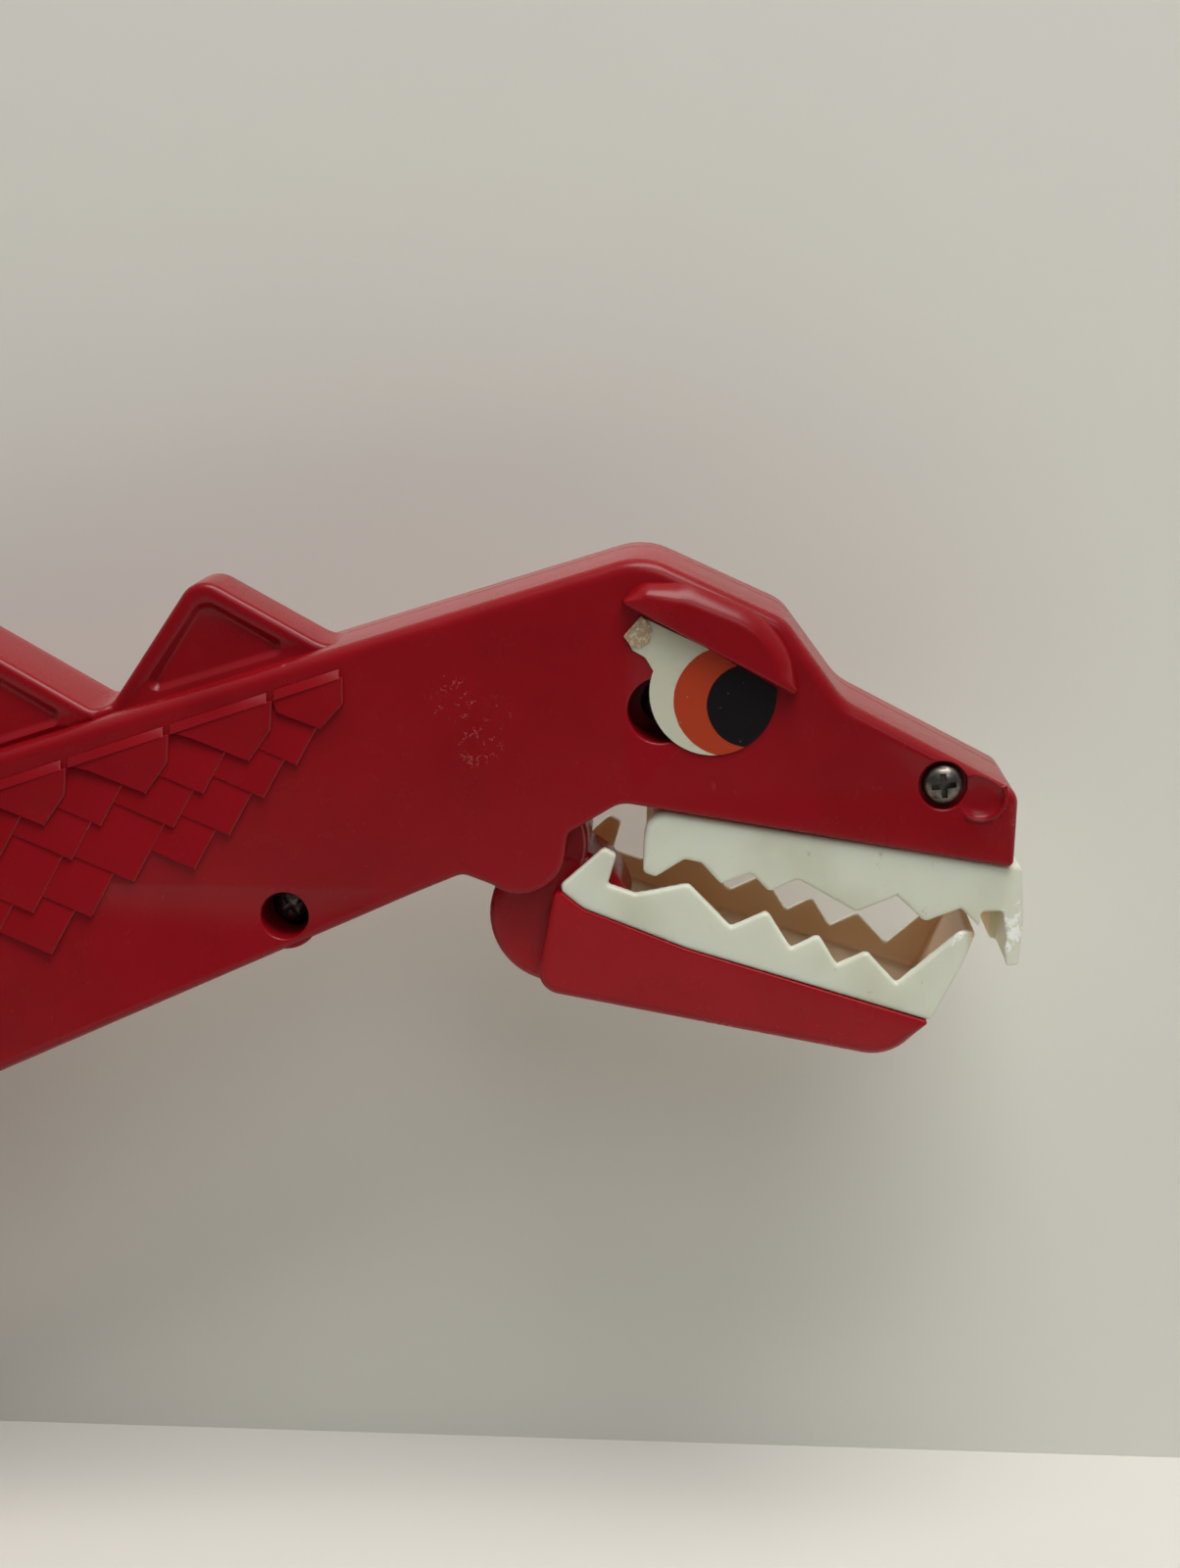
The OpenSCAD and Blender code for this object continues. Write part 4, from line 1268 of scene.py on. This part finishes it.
# The bared paper at the tail's end
SCRAP = [(17.4, 34.3, 0.2, 0.1), (14.9, 31.4, 0.3, 0.1), (16.0, 30.0, 0.2, 0.1), (17.2, 29.8, 0.4, 0.1),
         (18.6, 30.6, 0.2, 0.1), (19.0, 32.1, 0.3, 0.1), (18.4, 33.5, 0.2, 0.1)]
# How far the print and the scrap reach from the case's side, inwards and outwards
PRINT_SUNK, PRINT_OUT, SCRAP_SUNK, SCRAP_OUT = 0.02, 0.25, 0.05, 0.3


def sticker(side, hand, material, paper):
    """The printed eye with its torn tail, and the bared paper at the tail's end."""
    turns = [math.radians(a) for a in range(PRINT_FROM, PRINT_TO, PRINT_STEP)]
    round_part = sharp([(EYE_X + PRINT_R * math.cos(t), EYE_Z + PRINT_R * math.sin(t)) for t in turns])
    low, high = sorted((side * (HALF - PRINT_SUNK), side * (HALF + PRINT_OUT)))
    outline = Outline([*round_part, TAIL_FOOT, *PAPER_TAIL])
    eye = slab(f"{hand}_eye_sticker_print", outline, low, high, False, False)
    finish(eye, "case", material, [f"{hand}_eye_sticker"])
    low, high = sorted((side * (HALF + PRINT_OUT - SCRAP_SUNK), side * (HALF + PRINT_OUT + SCRAP_OUT)))
    scrap = slab(f"{hand}_torn_paper", Outline(SCRAP), low, high, side < 0, side > 0)
    finish(scrap, "case", paper)


# ---- stage -------------------------------------------------------------------------------------

BACK_PALE = (0.70, 0.70, 0.64, 1)
TABLE_PALE = (0.575, 0.56, 0.515, 1)
# The table's front edge, the boards' reach and height, the gap under the toy, and the wall's two ends
TABLE_FRONT, FAR, WALL_UP, TABLE_DROP = 0.42, 1.6, 2.2, 0.0005
WALL_LEFT_Y, WALL_RIGHT_Y = 0.062, 0.012


def board(name, corners, material):
    mesh = bpy.data.meshes.new(name)
    mesh.from_pydata(corners, [], [(0, 1, 2, 3)])
    mesh.materials.append(material)
    new_object(name, mesh)


def stage():
    """A pale table with a pale board behind the toy."""
    level = cad_low.z - TABLE_DROP
    corners = [(-FAR, -TABLE_FRONT), (FAR, -TABLE_FRONT), (FAR, FAR), (-FAR, FAR)]
    board("table", [(x, y, level) for x, y in corners], backdrop("table_paint", TABLE_PALE)[0])
    left, right = Vector((-FAR, WALL_LEFT_Y, level)), Vector((FAR, WALL_RIGHT_Y, level))
    up = Vector((0, 0, WALL_UP))
    board("wall", [left, right, right + up, left + up], one_sided(*backdrop("wall_paint", BACK_PALE)))


# Name, place, size, power and colour of each lamp
LAMPS = (("ceiling", (0.28, -0.42, 1.25), (0.8, 0.6), 14.5, (1.0, 0.98, 0.95)),
         ("window", (0.45, -1.15, 0.95), (0.6, 0.6), 3.0, (0.97, 0.98, 1.0)),
         ("back_fill", (-0.35, 0.95, 0.75), (0.9, 0.9), 7.0, (1, 1, 1)))
# The point on the snout that they aim at, as x from the jaw's hinge
LAMP_AIM = 20


def lamp(name, at, size, power, colour):
    light = bpy.data.lights.new(name, "AREA")
    light.shape = "RECTANGLE"
    light.size, light.size_y = size
    light.energy = power
    light.color = colour
    item = new_object(name, light)
    item.location = at
    item.rotation_euler = (place(LAMP_AIM, 0, 0) - Vector(at)).to_track_quat("-Z", "Y").to_euler()


# The room's light from the viewer's side, and from above and behind
ROOM_DARK = (0.10, 0.10, 0.105, 1)
ROOM_PALE = (0.52, 0.53, 0.56, 1)


def lights():
    for settings in LAMPS:
        lamp(*settings)
    world = bpy.data.worlds.new("room")
    world.use_nodes = True
    graph = Graph(world.node_tree)
    ground = world.node_tree.nodes["Background"]
    way = graph.add("ShaderNodeSeparateXYZ", {0: graph.add("ShaderNodeTexCoord").outputs["Generated"]})
    lit = graph.ramp(graph.plus(way.outputs["Y"], way.outputs["Z"]), -0.5, 1.0)
    seen = graph.add("ShaderNodeLightPath").outputs["Is Camera Ray"]
    graph.feed(ground.inputs[0], graph.mix(seen, graph.mix(lit, ROOM_DARK, ROOM_PALE), BACK_PALE))
    bpy.context.scene.world = world


# The camera's lens and film in millimetres, its dip and swing in degrees, its distance in metres and its aim
LENS, FILM = 51.975, 36.0
DIP, SWING, AWAY = 12.5, -2.7, 0.3234
AIM = (10.2, -HALF, 10.0)


def camera():
    """A phone's view from just above, a little towards the snout."""
    down, turn = math.radians(DIP), math.radians(SWING)
    look = Vector((math.sin(turn) * math.cos(down), math.cos(turn) * math.cos(down), -math.sin(down)))
    data = bpy.data.cameras.new("camera")
    data.sensor_width, data.lens = FILM, LENS
    item = new_object("camera", data)
    item.location = place(*AIM) - look * AWAY
    item.rotation_euler = look.to_track_quat("-Z", "Y").to_euler()
    bpy.context.scene.camera = item


def dress_cad_nodes(pin, rod):
    """Gives the CAD nodes that stay their materials."""
    for name in ("jaw_pivot_pin", "trigger_pivot_pin", "rod_front_pin", "rod_rear_pin", "push_rod"):
        node = NODES[name]
        node.data.materials.clear()
        node.data.materials.append(rod if name == "push_rod" else pin)


def build():
    make_skin_group()
    make_scratch_group()
    make_patch_group()
    make_hair_group()
    red = red_plastic("red_plastic", RED, RED_DEEP)
    # The jaw's red plastic is a lighter copy of the case's, with painted light
    jaw_red_painted_light = red_plastic("red_plastic_jaw", JAW_RED_PAINTED_LIGHT, JAW_RED_DEEP_PAINTED_LIGHT, 0.6)
    white = tooth_plastic()
    pin = steel("pin_steel", PIN_STEEL, PIN_DULL)
    dark = steel("screw_steel", SCREW_STEEL, SCREW_DULL)
    camera()
    right_case(red)
    left_case(red)
    upper_teeth(white)
    lower_teeth(white)
    lower_jaw(jaw_red_painted_light)
    trigger(red)
    screws(dark)
    spring(pin)
    paper = torn_paper()
    for side, hand in ((-1, "right"), (1, "left")):
        sticker(side, hand, sticker_print(hand), paper)
    dress_cad_nodes(pin, rod_plastic())
    stage()
    lights()
    bpy.context.scene.view_settings.view_transform = "Standard"


build()
bpy.context.view_layer.update()
